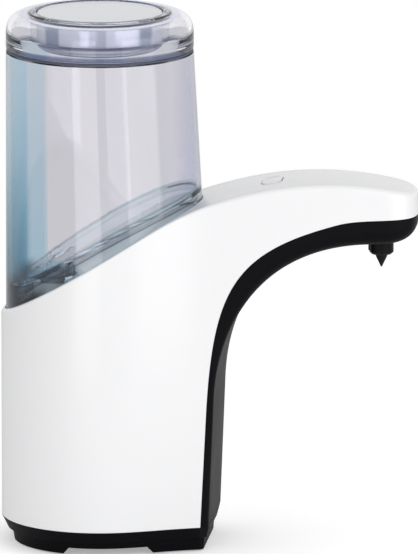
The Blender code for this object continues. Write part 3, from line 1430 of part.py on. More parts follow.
BAY_HALF = 2 * CELL_RADIUS + 1.5 * CELL_SPACE
REAR_FOOT_Y = BAY_HALF + BAY_WALL + FOOT_BOSS_RADIUS + GAP
REAR_FOOT_RANGE = REAR_RADIUS - SKIRT_INSET - SKIRT_WALL / 2 - FOOT_BOSS_RADIUS
FRONT_FOOT = (COLUMN_REACH - FRONT_FOOT_SETBACK, FRONT_FOOT_Y)
REAR_FOOT = (-math.sqrt(REAR_FOOT_RANGE**2 - REAR_FOOT_Y**2), REAR_FOOT_Y)
DOOR_AXIS_X = BAY_X - BAY_HALF + SLIDE_GAP + DOOR_THICKNESS / 2
DOOR_AXIS_Z = BASE_FLOOR_TOP - BASE_FLOOR / 2
CELL_BOTTOM = DOOR_AXIS_Z + DOOR_THICKNESS / 2 + 2 * GAP + CONTACT
BAY_ROOF = CELL_BOTTOM + CELL_LENGTH + CELL_NUB + 2 * GAP + CONTACT + BAY_WALL
PUMP_SHELF = MOTOR_SHELF + SHELF + MOTOR_LENGTH + 2 * GAP
GEAR_FOOT = PUMP_SHELF + SHELF + PUMP_FLOOR + 2 * GAP
GEAR_ROOM_RADIUS = GEAR_MODULE * (GEAR_TEETH / 2 + GEAR_ADDENDUM_SHARE) + GAP
IDLER_X = MOTOR_X + GEAR_MODULE * GEAR_TEETH
PUMP_HALF = GEAR_ROOM_RADIUS + PUMP_WALL
PUMP_TOP = GEAR_FOOT + GEAR_HEIGHT + GAP
BARB_TOP = PUMP_TOP + GAP + PUMP_COVER + BARB_LENGTH
BUTTON_SEAT = top_height(BUTTON_X - BUTTON_HALF_WIDTH - BUTTON_LEDGE, HOUSING_WALL) - GAP
BUTTON_BOARD_TOP = BUTTON_SEAT - BUTTON_FLANGE - BUTTON_COIL_LENGTH
NOZZLE_SEAT = under_height(NOZZLE_X + COLLAR_FLANGE_RADIUS) + COVER_WALL + 2 * GAP
NOZZLE_TOP = NOZZLE_SEAT + COLLAR_FLANGE + COLLAR_NECK
WINDOW_FOOT = under_height(SENSOR_X) + GAP
WINDOW_TOP = WINDOW_FOOT + WINDOW_THICKNESS
SENSOR_BOARD_BOTTOM = WINDOW_TOP + EYE_HEIGHT + 2 * GAP

clear_scene()
TANK_AXIS = add_axis("tank_axis", ((REAR_RADIUS - REACH) / 2, 0, 0))


def main():
    white = material("white_plastic", (0.90, 0.90, 0.91), 0.22)
    black = material("black_plastic", (0.012, 0.012, 0.014), 0.38)
    clear = material("clear_plastic", (0.80, 0.84, 0.88), 0.06, alpha=0.35)
    satin = material("satin_plastic", (0.70, 0.71, 0.74), 0.42)
    rubber = material("rubber", (0.05, 0.055, 0.06), 0.7)
    silicone = material("silicone", (0.16, 0.16, 0.17), 0.5)
    inner = material("inner_plastic", (0.55, 0.56, 0.58), 0.5)
    steel = material("steel", (0.60, 0.60, 0.62), 0.32, metallic=1.0)
    cell = material("cell_jacket", (0.10, 0.12, 0.16), 0.4, metallic=0.6)
    board = material("board_green", (0.03, 0.22, 0.10), 0.45)
    hose = material("hose", (0.72, 0.74, 0.76), 0.35)
    window = material("dark_window", (0.03, 0.01, 0.02), 0.12)
    make_housing(white)
    make_cover(black)
    make_base(black)
    make_feet(rubber, steel)
    make_door(black, steel)
    make_bay(inner, cell, steel)
    make_main_board(board, black, steel)
    make_chassis(inner)
    motor_axis = make_motor(steel, steel)
    make_gears(inner, motor_axis)
    make_pump(inner, steel)
    make_hoses(hose)
    make_tank(clear)
    make_lid(clear, satin, rubber)
    make_outlet(inner, rubber, steel)
    make_button(white, board, black, steel)
    make_nozzle(black, silicone)
    make_sensor(window, board, black)


main()
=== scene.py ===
# %% [markdown]
# # An automatic soap dispenser, dressed for its portrait
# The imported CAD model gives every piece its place, its size and the body that it moves with. This notebook
# builds the surfaces that the eye sees: a gloss white housing, a satin black strip and base, and a clear
# leaning tank with its lid. Each step says first what the real piece is, then how it is made here.

import math

import bmesh
import bpy
import numpy as np
from mathutils import Matrix, Vector
from mathutils.geometry import interpolate_bezier


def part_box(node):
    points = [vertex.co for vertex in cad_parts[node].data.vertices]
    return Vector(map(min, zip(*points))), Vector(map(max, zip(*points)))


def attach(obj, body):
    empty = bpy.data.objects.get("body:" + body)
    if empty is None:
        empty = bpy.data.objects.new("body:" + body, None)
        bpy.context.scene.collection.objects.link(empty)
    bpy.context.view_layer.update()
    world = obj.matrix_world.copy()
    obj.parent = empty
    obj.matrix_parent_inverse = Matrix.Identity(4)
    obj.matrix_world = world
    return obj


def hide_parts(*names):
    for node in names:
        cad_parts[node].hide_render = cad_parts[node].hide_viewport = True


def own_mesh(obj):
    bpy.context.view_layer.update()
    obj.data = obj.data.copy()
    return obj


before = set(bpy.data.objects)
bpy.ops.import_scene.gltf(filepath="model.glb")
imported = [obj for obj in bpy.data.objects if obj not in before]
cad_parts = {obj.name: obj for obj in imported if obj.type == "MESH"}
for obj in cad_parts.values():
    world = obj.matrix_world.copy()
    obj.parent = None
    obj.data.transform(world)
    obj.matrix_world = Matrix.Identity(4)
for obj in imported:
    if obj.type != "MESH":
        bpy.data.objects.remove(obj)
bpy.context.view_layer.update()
scene = bpy.context.scene
scene.view_settings.view_transform = "Standard"

# %% [markdown]
# ## Camera
# A product photographer stands far back with a long lens, so that upright edges stay upright. The camera
# looks at a point halfway up the dispenser, from a little to the spout's side and from slightly above.

# %% Camera
CAMERA_AZIMUTH = math.radians(6.0)
CAMERA_ELEVATION = math.radians(11.5)
CAMERA_DISTANCE = 4.5
CAMERA_TARGET = Vector((-0.0002, 0.0, 0.1152))
FRAME_HEIGHT = 0.2369
FILM_WIDTH = 36.0


def make_camera():
    """A long lens whose frame is as high as FRAME_HEIGHT at the dispenser."""
    data = bpy.data.cameras.new("camera")
    data.sensor_width = FILM_WIDTH
    data.lens = FILM_WIDTH * CAMERA_DISTANCE / FRAME_HEIGHT
    data.clip_end = 50
    camera = bpy.data.objects.new("camera", data)
    scene.collection.objects.link(camera)
    flat = math.cos(CAMERA_ELEVATION)
    back = Vector((math.sin(CAMERA_AZIMUTH) * flat, -math.cos(CAMERA_AZIMUTH) * flat, math.sin(CAMERA_ELEVATION)))
    camera.location = CAMERA_TARGET + back * CAMERA_DISTANCE
    camera.rotation_euler = (-back).to_track_quat("-Z", "Y").to_euler()
    scene.camera = camera
    return camera


camera = make_camera()
print("lens:", round(camera.data.lens), "mm")

# %% [markdown]
# ## Making and finishing a piece
# Every piece below is drawn with the tank's axis at x = 0, because nearly all of its sizes were measured
# from there. `finish_piece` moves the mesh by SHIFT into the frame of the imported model, shades it smooth
# with sharp edges kept, and says which body carries it and which CAD node it stands for. Most pieces are
# turned, raised from an outline or cut by Booleans, so each of these ways is one function. A cutter reaches
# well past the piece: by SIDE to both sides, and from BELOW to ABOVE.

# %% Finishing a piece
SHIFT = -0.047
SIDE = 0.06
ABOVE, BELOW = 0.3, 0.0


def mesh_object(name, form):
    """Turns a bmesh into an object in the scene."""
    mesh = bpy.data.meshes.new(name)
    form.to_mesh(mesh)
    form.free()
    thing = bpy.data.objects.new(name, mesh)
    scene.collection.objects.link(thing)
    return thing


def clean(form):
    """Merges doubles and turns all faces outwards."""
    bmesh.ops.remove_doubles(form, verts=form.verts, dist=1e-6)
    bmesh.ops.recalc_face_normals(form, faces=form.faces)


def finish_piece(thing, paint, body, angle=32, shift=SHIFT):
    """Places the mesh, gives it its finish and hands it to the frame in place of the CAD node of its name."""
    thing.data.transform(Matrix.Translation((shift, 0, 0)))
    thing.data.materials.clear()
    thing.data.materials.append(paint)
    thing.data.shade_smooth()
    thing.data.set_sharp_from_angle(angle=math.radians(angle))
    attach(thing, body)
    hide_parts(thing.name.removesuffix("_dressed"))
    print(f"{thing.name}: {len(thing.data.polygons)} faces, rides on {body}")
    return thing


def neighbours(row, closed):
    """Each point of a row with the next one and, if it is closed, the last with the first."""
    return list(zip(row, row[1:])) + ([(row[-1], row[0])] if closed else [])


def first_row(form, spots, closed=False):
    """The starting line of a piece: its points joined by edges."""
    row = [form.verts.new(spot) for spot in spots]
    for pair in neighbours(row, closed):
        form.edges.new(pair)
    return row


def next_row(form, row, spots, closed=False):
    """Extrudes a row of points and moves the new row, in the same order, to its spots."""
    edges = [form.edges.get(pair) for pair in neighbours(row, closed)]
    made = set(bmesh.ops.extrude_edge_only(form, edges=edges)["geom"])
    new = [next(e.other_vert(v) for e in v.link_edges if e.other_vert(v) in made) for v in row]
    for vert, spot in zip(new, spots):
        vert.co = spot
    return new


def carve(thing, cutter, operation="DIFFERENCE"):
    """Applies one Boolean and removes the cutter."""
    step = thing.modifiers.new("carve", "BOOLEAN")
    step.operation = operation
    step.solver = "EXACT"
    step.object = cutter
    graph = bpy.context.evaluated_depsgraph_get()
    made = bpy.data.meshes.new_from_object(thing.evaluated_get(graph))
    thing.modifiers.clear()
    old = thing.data
    thing.data = made
    bpy.data.meshes.remove(old)
    bpy.data.objects.remove(cutter, do_unlink=True)
    return thing


def lofted(name, rings):
    """A closed solid through outlines that have the same number of points."""
    form = bmesh.new()
    row = first_row(form, rings[0], closed=True)
    form.faces.new(reversed(row))
    for ring in rings[1:]:
        row = next_row(form, row, ring, closed=True)
    form.faces.new(row)
    clean(form)
    return mesh_object(name, form)


def prism(name, outline, low, high, across=False):
    """A flat outline raised in z or, drawn in x and z, stretched across in y."""
    form = bmesh.new()
    first_row(form, [(a, low, b) if across else (a, b, low) for a, b in outline], closed=True)
    face = bmesh.ops.edgeloop_fill(form, edges=form.edges[:])["faces"]
    made = bmesh.ops.extrude_face_region(form, geom=face)["geom"]
    step = (0, high - low, 0) if across else (0, 0, high - low)
    bmesh.ops.translate(form, vec=step, verts=[v for v in made if isinstance(v, bmesh.types.BMVert)])
    clean(form)
    return mesh_object(name, form)


def cut_beyond(line, edge):
    """A cutter over the whole width, between a line drawn in x and z and a height far over or under it."""
    return prism("cutter", [*line, (line[-1][0], edge), (line[0][0], edge)], -SIDE, SIDE, across=True)


def rectangle(left, right, near, far):
    return [(left, near), (right, near), (right, far), (left, far)]


def spun(name, profile, steps=96, centre=(0, 0)):
    """A closed or axis-to-axis profile of radius and height, spun once round an upright axis."""
    form = bmesh.new()
    closed = profile[0][0] > 1e-6 or profile[-1][0] > 1e-6
    row = first_row(form, [(centre[0] + r, centre[1], z) for r, z in profile], closed)
    around = {"cent": (*centre, 0), "axis": (0, 0, 1), "angle": math.tau, "steps": steps}
    bmesh.ops.spin(form, geom=row + form.edges[:], use_merge=True, **around)
    clean(form)
    return mesh_object(name, form)


def drum(name, radius, low, high, spot, steps=48):
    return spun(name, [(0.0, low), (radius, low), (radius, high), (0.0, high)], steps, spot)


def turned_part(name, profile, paint, body, spot=(0, 0), steps=64, angle=32):
    """Spins a profile into the piece that stands for the CAD node of the same name."""
    return finish_piece(spun(f"{name}_dressed", profile, steps, spot), paint, body, angle)


def rounded(points, radius=0.0, segments=4):
    """A polyline with its inner corners turned into arcs, of the radius or of a point's own third value."""
    line = []
    for i, point in enumerate(points):
        here = Vector(point[:2])
        size = point[2] if len(point) > 2 else radius
        reach = 0.0
        if 0 < i < len(points) - 1 and size > 0:
            before, after = Vector(points[i - 1][:2]) - here, Vector(points[i + 1][:2]) - here
            half = before.angle(after) / 2
            if half <= math.radians(89.5):
                reach = min(size / math.tan(half), before.length * 0.49, after.length * 0.49)
        if not reach:
            line.append(tuple(here))
            continue
        start = here + before.normalized() * reach
        end = here + after.normalized() * reach
        for k in range(segments + 1):
            share = k / segments
            line.append(tuple((1 - share) ** 2 * start + 2 * share * (1 - share) * here + share**2 * end))
    return line


def ring_profile(inner, outer, low, high, start, radius):
    """A ring's closed section with round corners. It starts on the flat top, because the ends stay sharp."""
    corners = [(start, high), (outer, high), (outer, low), (inner, low), (inner, high), (start, high)]
    return rounded(corners, radius)[:-1]


def soften(thing, width, chosen=lambda middle: True, segments=2, angle=35):
    """Bevels the sharp edges whose middle is chosen."""
    form = bmesh.new()
    form.from_mesh(thing.data)
    sharp = [
        edge
        for edge in form.edges
        if len(edge.link_faces) == 2
        and edge.calc_face_angle(0) > math.radians(angle)
        and chosen((edge.verts[0].co + edge.verts[1].co) / 2)
    ]
    ways = {"segments": segments, "profile": 0.5, "affect": "EDGES", "material": -1, "clamp_overlap": True}
    bmesh.ops.bevel(form, geom=sharp, offset=width, **ways)
    clean(form)
    form.to_mesh(thing.data)
    form.free()
    return thing

# %% [markdown]
# ## Finishes
# A finish is more than a colour. Moulded plastic has a very fine grain and a surface that is never quite
# flat, and hands leave faint smudges that show only in its gloss. Both effects serve several finishes, so
# each is a node group: it reads Object coordinates, which stay on the piece from every side.

# %% Shared effects


VALUE, COLOUR = "NodeSocketFloat", "NodeSocketColor"


def set_inputs(tree, node, values):
    """Gives each named input a plain value, or a link if the value is another node's output."""
    for label, value in values.items():
        if isinstance(value, bpy.types.NodeSocket):
            tree.links.new(value, node.inputs[label])
        else:
            node.inputs[label].default_value = value


def add_node(tree, kind, values=None, **settings):
    """A new shader node with its settings and inputs."""
    node = tree.nodes.new(f"ShaderNode{kind}")
    for name, setting in settings.items():
        setattr(node, name, setting)
    set_inputs(tree, node, values or {})
    return node


def object_place(tree):
    return add_node(tree, "TexCoord").outputs["Object"]


def noise(tree, scale, detail, rough, where):
    values = {"Scale": scale, "Detail": detail, "Roughness": rough, "Vector": where}
    return add_node(tree, "TexNoise", values).outputs["Fac"]


def ranged(tree, value, low, high, start=0.0, end=1.0):
    """Maps a value between start and end onto low to high."""
    values = {"Value": value, "From Min": start, "From Max": end, "To Min": low, "To Max": high}
    return add_node(tree, "MapRange", values).outputs["Result"]


def math_node(tree, operation, *values):
    return add_node(tree, "Math", dict(enumerate(values)), operation=operation).outputs[0]


def blended(tree, share, first, second):
    """A share of the second colour over the first."""
    values = {"Factor": share, "A": first, "B": second}
    return add_node(tree, "Mix", values, data_type="RGBA").outputs["Result"]


def group_with(name, inputs, output, kind):
    """An empty node group with named inputs and one output, and the sockets to join inside it."""
    group = bpy.data.node_groups.new(name, "ShaderNodeTree")
    for label, socket_type in inputs.items():
        group.interface.new_socket(name=label, in_out="INPUT", socket_type=socket_type)
    group.interface.new_socket(name=output, in_out="OUTPUT", socket_type=kind)
    return group, group.nodes.new("NodeGroupInput").outputs, group.nodes.new("NodeGroupOutput").inputs[0]


def make_smudge_group():
    """Roughness that hands and wiping change a little: a base value, clouds of smudge and fine streaks."""
    group, given, out = group_with("handling", {"Roughness": VALUE, "Amount": VALUE}, "Roughness", VALUE)
    where = object_place(group)
    squeezed = add_node(group, "Mapping", {"Scale": (1.0, 1.0, 0.18), "Vector": where}).outputs["Vector"]
    clouds = math_node(group, "MULTIPLY", noise(group, 38, 3, 0.6, where), 0.7)
    streaks = math_node(group, "MULTIPLY", noise(group, 420, 2, 0.5, squeezed), 0.3)
    centred = math_node(group, "SUBTRACT", math_node(group, "ADD", clouds, streaks), 0.5)
    push = math_node(group, "MULTIPLY", centred, given["Amount"])
    total = math_node(group, "ADD", given["Roughness"], math_node(group, "MULTIPLY", push, 2.0))
    group.links.new(total, out)
    return group


def make_grain_group():
    """Moulded surface: a fine texture with a slow waviness under it, as a height for a Bump node."""
    group, given, out = group_with("moulding", {"Fine": VALUE, "Scale": VALUE}, "Height", VALUE)
    where = object_place(group)
    fine = math_node(group, "MULTIPLY", noise(group, given["Scale"], 2, 0.5, where), given["Fine"])
    wave = math_node(group, "MULTIPLY", noise(group, 60, 1, 0.4, where), 0.3)
    group.links.new(math_node(group, "ADD", fine, wave), out)
    return group


def make_tone_group():
    """Colour that drifts a little, as a batch of plastic or a worn surface does."""
    inputs = {"Colour": COLOUR, "Second": COLOUR, "Scale": VALUE}
    group, given, out = group_with("tone", inputs, "Colour", COLOUR)
    cloud = noise(group, given["Scale"], 3, 0.55, object_place(group))
    group.links.new(blended(group, cloud, given["Colour"], given["Second"]), out)
    return group


HANDLING = make_smudge_group()
MOULDING = make_grain_group()
TONE = make_tone_group()
print("shared effects:", HANDLING.name, MOULDING.name, TONE.name)

# %% [markdown]
# ### Painted reflections and painted shade, by place
# What a clear wall mirrors and bends is painted in, as painted reflection and painted shade, by each point's own
# place on the piece, so that it stays there from every side: along the dispenser, in height, or over the tank's
# sloping floor. The insert's mirrored bands are painted reflections too. Each painted mark is a colour with the
# stretches over which it fades, each from full to none.

# %% Painted reflections and shade by place
REAR_SLOPE = math.radians(31)
FLOOR_DIP = 2.8
FLOOR_HEIGHT = 0.1535


def measures(tree):
    """Where a point lies: along the dispenser, in height and over the tank's sloping floor."""
    place = add_node(tree, "SeparateXYZ", {"Vector": object_place(tree)}).outputs
    x, z = place["X"], place["Z"]
    slope = math_node(tree, "MULTIPLY", x, -math.tan(REAR_SLOPE))
    past = math_node(tree, "MAXIMUM", math_node(tree, "SUBTRACT", x, SHIFT), 0.0)
    dip = math_node(tree, "MULTIPLY", math_node(tree, "MULTIPLY", past, past), FLOOR_DIP)
    line = math_node(tree, "SUBTRACT", math_node(tree, "ADD", z, slope), FLOOR_HEIGHT)
    return {"x": x, "z": z, "above": math_node(tree, "ADD", line, dip)}


def with_painted_light(tree, hue, painted_light):
    """Lays the painted reflections and painted shade over the hue. A stretch ends at none, or at a fourth value where
    it gives one.
    """
    spots = measures(tree) if painted_light else {}
    for painted_colour, fades in painted_light:
        amount = None
        for way, full, none, *rest in fades:
            least = rest[0] if rest else 0.0
            low, high = (1.0, least) if full < none else (least, 1.0)
            fade = ranged(tree, spots[way], low, high, min(full, none), max(full, none))
            amount = math_node(tree, "MULTIPLY", amount, fade) if amount else fade
        hue = blended(tree, amount, hue, (*painted_colour, 1))
    return hue


# Painted reflections: three darker upright bands on the insert's bright wall, where it mirrors the room.
INSERT_PAINTED_REFLECTIONS = tuple(
    (colour, (("x", left + 0.0012, left), ("x", right - 0.0012, right)))
    for colour, left, right in (
        ((0.34, 0.41, 0.52), -0.0676, -0.0606),
        ((0.34, 0.41, 0.52), -0.029, -0.0236),
        ((0.58, 0.6, 0.67), -0.049, -0.0408),
    )
)
# Painted reflections and painted shade on the tank: teal bands and a nearly black corner low at the rear, a lilac tone
# at the front, and light and dark lines along the sloping floor.
TANK_PAINTED_LIGHT = (
    ((0.49, 0.76, 0.9), (("x", -0.0752, -0.074), ("z", 0.1, 0.21, 0.45))),
    ((0.18, 0.43, 0.56), (("x", -0.0868, -0.08), ("z", 0.112, 0.19))),
    ((0.04, 0.2, 0.31), (("x", -0.0862, -0.0806), ("z", 0.112, 0.166))),
    ((0.76, 0.78, 0.93), (("x", -0.004, -0.015),)),
    ((0.86, 0.9, 0.93), (("above", 0.0068, 0.0074),)),
    ((0.52, 0.63, 0.7), (("above", 0.0082, 0.0078), ("above", 0.0098, 0.0106))),
    ((0.16, 0.21, 0.3), (("above", 0.0076, 0.0072), ("above", 0.0082, 0.0086))),
    ((0.34, 0.4, 0.47), (("above", 0.005, 0.0046), ("above", 0.0053, 0.0057))),
    ((0.05, 0.13, 0.18), (("above", 0.0008, 0.0036), ("x", -0.072, -0.065))),
    ((0.01, 0.05, 0.1), (("x", -0.0806, -0.078), ("z", 0.1135, 0.119))),
)
# Painted reflection: a teal band at the rear of the tank's floor.
FLOOR_PAINTED_REFLECTION = (((0.4, 0.52, 0.6), (("x", -0.0752, -0.074),)),)
# Painted reflections on the lid: a dark band and a light band low on it, and a lilac band at its top rim.
LID_PAINTED_LIGHT = (
    ((0.24, 0.28, 0.42), (("z", 0.2142, 0.2139), ("z", 0.2158, 0.2164))),
    ((0.96, 0.96, 0.98), (("z", 0.2136, 0.214),)),
    ((0.62, 0.64, 0.8), (("z", 0.2292, 0.2286),)),
)
print("tints:", sum(map(len, (INSERT_PAINTED_REFLECTIONS, TANK_PAINTED_LIGHT, FLOOR_PAINTED_REFLECTION, LID_PAINTED_LIGHT))))

# %% [markdown]
# ### Solid plastics, rubber and metal
# One function builds every solid finish from the same parts: a colour that drifts a little, a roughness with
# smudges, and a bump from the moulding. Only the numbers differ: gloss white is smooth with a slow wave,
# satin black has more grain, rubber is rough, and metal has long fine streaks.

# %% Solid finishes


def new_material(name):
    """A material with its tree and its Principled shader."""
    paint = bpy.data.materials.new(name)
    paint.use_nodes = True
    return paint, paint.node_tree, paint.node_tree.nodes["Principled BSDF"]


def effect(tree, group, **values):
    """Places a shared effect and returns its one output."""
    return add_node(tree, "Group", values, node_tree=group).outputs[0]


def solid_finish(
    name, colour, second, roughness, smudge=0.1, fine=0.8, bump=0.12,
    scale=2600.0, metal=0.0, coat=0.0, tone=25.0, gloss=0.5, painted_light=(),
):
    """An opaque finish. Its colour drifts to the second one, and a bump of 0.2 mm has the moulding's height."""
    paint, tree, shader = new_material(name)
    hue = effect(tree, TONE, Colour=(*colour, 1), Second=(*second, 1), Scale=tone)
    height = effect(tree, MOULDING, Fine=fine, Scale=scale)
    raised = add_node(tree, "Bump", {"Strength": bump, "Distance": 0.0002, "Height": height})
    # Painted reflections, where any are given, are laid over the drifting colour.
    values = {
        "Base Color": with_painted_light(tree, hue, painted_light),
        "Roughness": effect(tree, HANDLING, Roughness=roughness, Amount=smudge),
        "Normal": raised.outputs["Normal"],
        "Metallic": metal,
        "Specular IOR Level": gloss,
        "Coat Weight": coat,
        "Coat Roughness": 0.05,
    }
    set_inputs(tree, shader, values)
    return paint


GLOSS_WHITE = solid_finish(
    "gloss_white", (0.9, 0.9, 0.908), (0.885, 0.887, 0.9), 0.2, smudge=0.05, fine=0.3, bump=0.04
)
SATIN_BLACK = solid_finish("satin_black", (0.0022, 0.0022, 0.0034), (0.0036, 0.0036, 0.005), 0.46, gloss=0.075)
NOZZLE_BLACK = solid_finish("nozzle_black", (0.002, 0.002, 0.003), (0.005, 0.005, 0.006), 0.4, gloss=0.12)
SATIN_SILVER = solid_finish(
    "satin_silver", (0.86, 0.87, 0.9), (0.8, 0.81, 0.84), 0.42, smudge=0.05, fine=0.3, bump=0.05, metal=0.25
)
# The insert's bright wall carries three darker bands of painted reflection.
BRIGHT_SILVER = solid_finish(
    "bright_silver", (0.9, 0.93, 0.96), (0.84, 0.88, 0.92), 0.16, smudge=0.04, fine=0.3, bump=0.03, metal=0.22,
    painted_light=INSERT_PAINTED_REFLECTIONS,
)
SEAL_RUBBER = solid_finish(
    "seal_rubber", (0.075, 0.085, 0.125), (0.095, 0.105, 0.15), 0.5, fine=0.6, bump=0.1, gloss=0.2
)
FOOT_RUBBER = solid_finish(
    "foot_rubber", (0.03, 0.03, 0.032), (0.05, 0.05, 0.052), 0.75, fine=1.0, bump=0.25, scale=1500
)
VALVE_RUBBER = solid_finish("valve_rubber", (0.004, 0.004, 0.005), (0.008, 0.008, 0.009), 0.48, gloss=0.15)
INNER_PLASTIC = solid_finish("inner_plastic", (0.52, 0.53, 0.55), (0.6, 0.61, 0.62), 0.48, smudge=0.08, bump=0.15)
STEEL = solid_finish(
    "plated_steel", (0.62, 0.62, 0.63), (0.52, 0.52, 0.54), 0.28, smudge=0.12, fine=0.6, bump=0.08, metal=1.0, tone=90.0
)
print("finishes made:", len(bpy.data.materials))

# %% [markdown]
# ### Clear plastic
# The tank and the lid are clear, so they need a real wall that light bends through. In Blender glass throws
# a black shadow, where a real clear tank lets most of the light pass. A Light Path switch gives shadow rays
# a plain see-through shader instead. The tank's sloping floor has a finish of its own that bends light less,
# because a full bend would mirror the white sky over the whole floor, and whose darker blue-grey colour is
# painted shade.

# %% Clear finishes


def clear_finish(name, colour, shade, painted_light, bend=1.49):
    """Clear plastic that lets lamps through, with a shade for its shadow."""
    paint, tree, shader = new_material(name)
    second = tuple(c * 0.985 for c in colour)
    hue = effect(tree, TONE, Colour=(*colour, 1), Second=(*second, 1), Scale=30.0)
    # Painted reflections and painted shade, where given, are laid over the colour.
    values = {
        "Base Color": with_painted_light(tree, hue, painted_light),
        "Roughness": effect(tree, HANDLING, Roughness=0.02, Amount=0.02),
        "Transmission Weight": 1.0,
        "IOR": bend,
    }
    set_inputs(tree, shader, values)
    through = add_node(tree, "BsdfTransparent", {"Color": (*shade, 1)}).outputs["BSDF"]
    shadow = add_node(tree, "LightPath").outputs["Is Shadow Ray"]
    switch = add_node(tree, "MixShader", {"Fac": shadow, 1: shader.outputs["BSDF"], 2: through})
    tree.links.new(switch.outputs["Shader"], tree.nodes["Material Output"].inputs["Surface"])
    return paint


# The tank's clear plastic carries its painted reflections and painted shade.
CLEAR_TANK = clear_finish("clear_tank", (0.971, 0.959, 0.997), (0.93, 0.93, 0.95), TANK_PAINTED_LIGHT)
# The floor's darker blue-grey colour is painted shade, with a teal band of painted reflection at its rear.
CLEAR_FLOOR_PAINTED_SHADE = clear_finish("clear_tank_floor_painted_shade", (0.5, 0.58, 0.64), (0.93, 0.93, 0.95), FLOOR_PAINTED_REFLECTION, bend=1.08)
# The lid's clear plastic carries its painted reflections.
CLEAR_LID = clear_finish("clear_lid", (0.9, 0.9, 0.935), (0.92, 0.92, 0.95), LID_PAINTED_LIGHT, bend=1.42)
print("clear finishes:", CLEAR_TANK.name, CLEAR_FLOOR_PAINTED_SHADE.name, CLEAR_LID.name)

# %% [markdown]
# ## The lines that several pieces share
# The housing's roof is a straight slope that runs into one big arc, drawn from the side. Seen from above the
# housing is round at the tank, narrows at the waist and tapers along the arm to a rounded tip. The housing,
# the cover, the tank's foot and the button all follow these two lines, so each is written once.

# %% Roof line and plan
REAR = 0.0425
REACH = 0.1365
ROOF_REAR = 0.0998
ROOF_BREAK = 0.022
TIP_SLOPE = math.radians(14.6)
ROOF_RADIUS = (REACH - ROOF_BREAK) / (math.sin(REAR_SLOPE) + math.sin(TIP_SLOPE))
BREAK_HEIGHT = ROOF_REAR + (REAR + ROOF_BREAK) * math.tan(REAR_SLOPE)
ARC_X = ROOF_BREAK + ROOF_RADIUS * math.sin(REAR_SLOPE)
ARC_Z = BREAK_HEIGHT - ROOF_RADIUS * math.cos(REAR_SLOPE)
BASE_TOP = 0.0114


def roof(x, depth=0.0):
    """Height of the housing's roof, or of a line that lies the depth under it."""
    if x < ROOF_BREAK + depth * math.sin(REAR_SLOPE):
        return ROOF_REAR + (x + REAR) * math.tan(REAR_SLOPE) - depth / math.cos(REAR_SLOPE)
    return ARC_Z + math.sqrt((ROOF_RADIUS - depth) ** 2 - (x - ARC_X) ** 2)


def bezier_points(points, steps):
    """Points of one Bezier piece given in two coordinates."""
    knots = [Vector((a, b, 0)) for a, b in points]
    return [(p.x, p.y) for p in interpolate_bezier(*knots, steps + 1)]


WAIST_END = (0.058, 0.0245)
WAIST_TURN = math.radians(75)


def half_plan(steps=30):
    """Half of the plan, from just beside the rear to just beside the tip: round, waisted, tapered, rounded."""
    angles = np.radians(np.linspace(180 - 1.4, 75, steps + 6))
    rear = [(REAR * math.cos(a), REAR * math.sin(a)) for a in angles]
    start, (end, width) = rear[-1], WAIST_END
    taper = 0.008 / 0.06
    run = end - start[0]
    leave = (start[0] + 0.34 * run * math.sin(WAIST_TURN), start[1] - 0.34 * run * math.cos(WAIST_TURN))
    arrive = (end - 0.425 * run, width + 0.425 * run * taper)
    waist = bezier_points((start, leave, arrive, WAIST_END), steps - 6)
    arm = [(end + k * 0.004, width - k * 0.004 * taper) for k in range(1, 15)]
    tip = bezier_points(((0.118, 0.0165), (0.131, 0.015), (REACH, 0.013), (REACH, 0.0)), steps)
    return rear[:-1] + waist + arm + tip[:-1]


PLAN = half_plan()
PLAN_X = [p[0] for p in PLAN] + [REACH]
PLAN_Y = [p[1] for p in PLAN] + [0.0]


def half_width(x):
    return float(np.interp(x, PLAN_X, PLAN_Y))


def closed_plan(half):
    """Counterclockwise loop: along the near side to the tip and back along the far side."""
    return [(x, -y) for x, y in half] + [(x, y) for x, y in reversed(half)]


def moved_in(loop, distances):
    """A counterclockwise loop moved inwards, by one distance for each point."""
    spots = np.array(loop)
    before = spots - np.roll(spots, 1, axis=0)
    after = np.roll(spots, -1, axis=0) - spots
    before /= np.linalg.norm(before, axis=1)[:, None]
    after /= np.linalg.norm(after, axis=1)[:, None]
    along = before + after
    along /= np.linalg.norm(along, axis=1)[:, None]
    inward = np.column_stack((-along[:, 1], along[:, 0]))
    bend = (along * after).sum(axis=1)
    return spots + inward * (np.array(distances) / bend)[:, None]


print("roof over the tip:", round(roof(REACH) * 1000, 2), "mm; plan points:", len(PLAN))

# %% [markdown]
# The black cover meets the white housing along a seam: nearly upright up the column, then a sweeping bend
# forward under the arm. The cover's outside is a second line in front of and under the seam.

# %% Seam and underside
COLUMN = 0.0492
SEAM_TIP = roof(REACH) - 0.0102


def side_points(shares):
    return [(COLUMN + x * (REACH - COLUMN), z * SEAM_TIP) for x, z in shares]


UNDERSIDE = side_points(((0.025, 0.456), (0.0345, 0.675), (0.237, 0.899), (0.719, 0.9175)))
NOSE = side_points(((0.857, 0.9205), (0.948, 0.923), (0.997, 0.95), (0.998, 0.978)))
SEAM_BEND = side_points(((-0.009, 0.44), (0.0264, 0.801), (0.133, 0.9076), (0.631, 0.9854)))
SEAM_TIP_BEND = side_points(((0.631, 0.9854), (0.719, 0.9982), (0.834, 0.9945), (1.0, 1.0)))
SEAM = [(COLUMN - 0.0039, 0.0)] + bezier_points(SEAM_BEND, 40)[:-1] + bezier_points(SEAM_TIP_BEND, 24)


def seam_height(x):
    return float(np.interp(x, [p[0] for p in SEAM], [p[1] for p in SEAM]))


def evened(line, steps):
    """The same line with its points at even spacing."""
    line = np.array(line)
    runs = np.linalg.norm(np.diff(line, axis=0), axis=1)
    along = np.concatenate(((0,), np.cumsum(runs)))
    spots = np.linspace(0, along[-1], steps + 1)
    return [tuple(float(np.interp(s, along, line[:, way])) for way in (0, 1)) for s in spots]


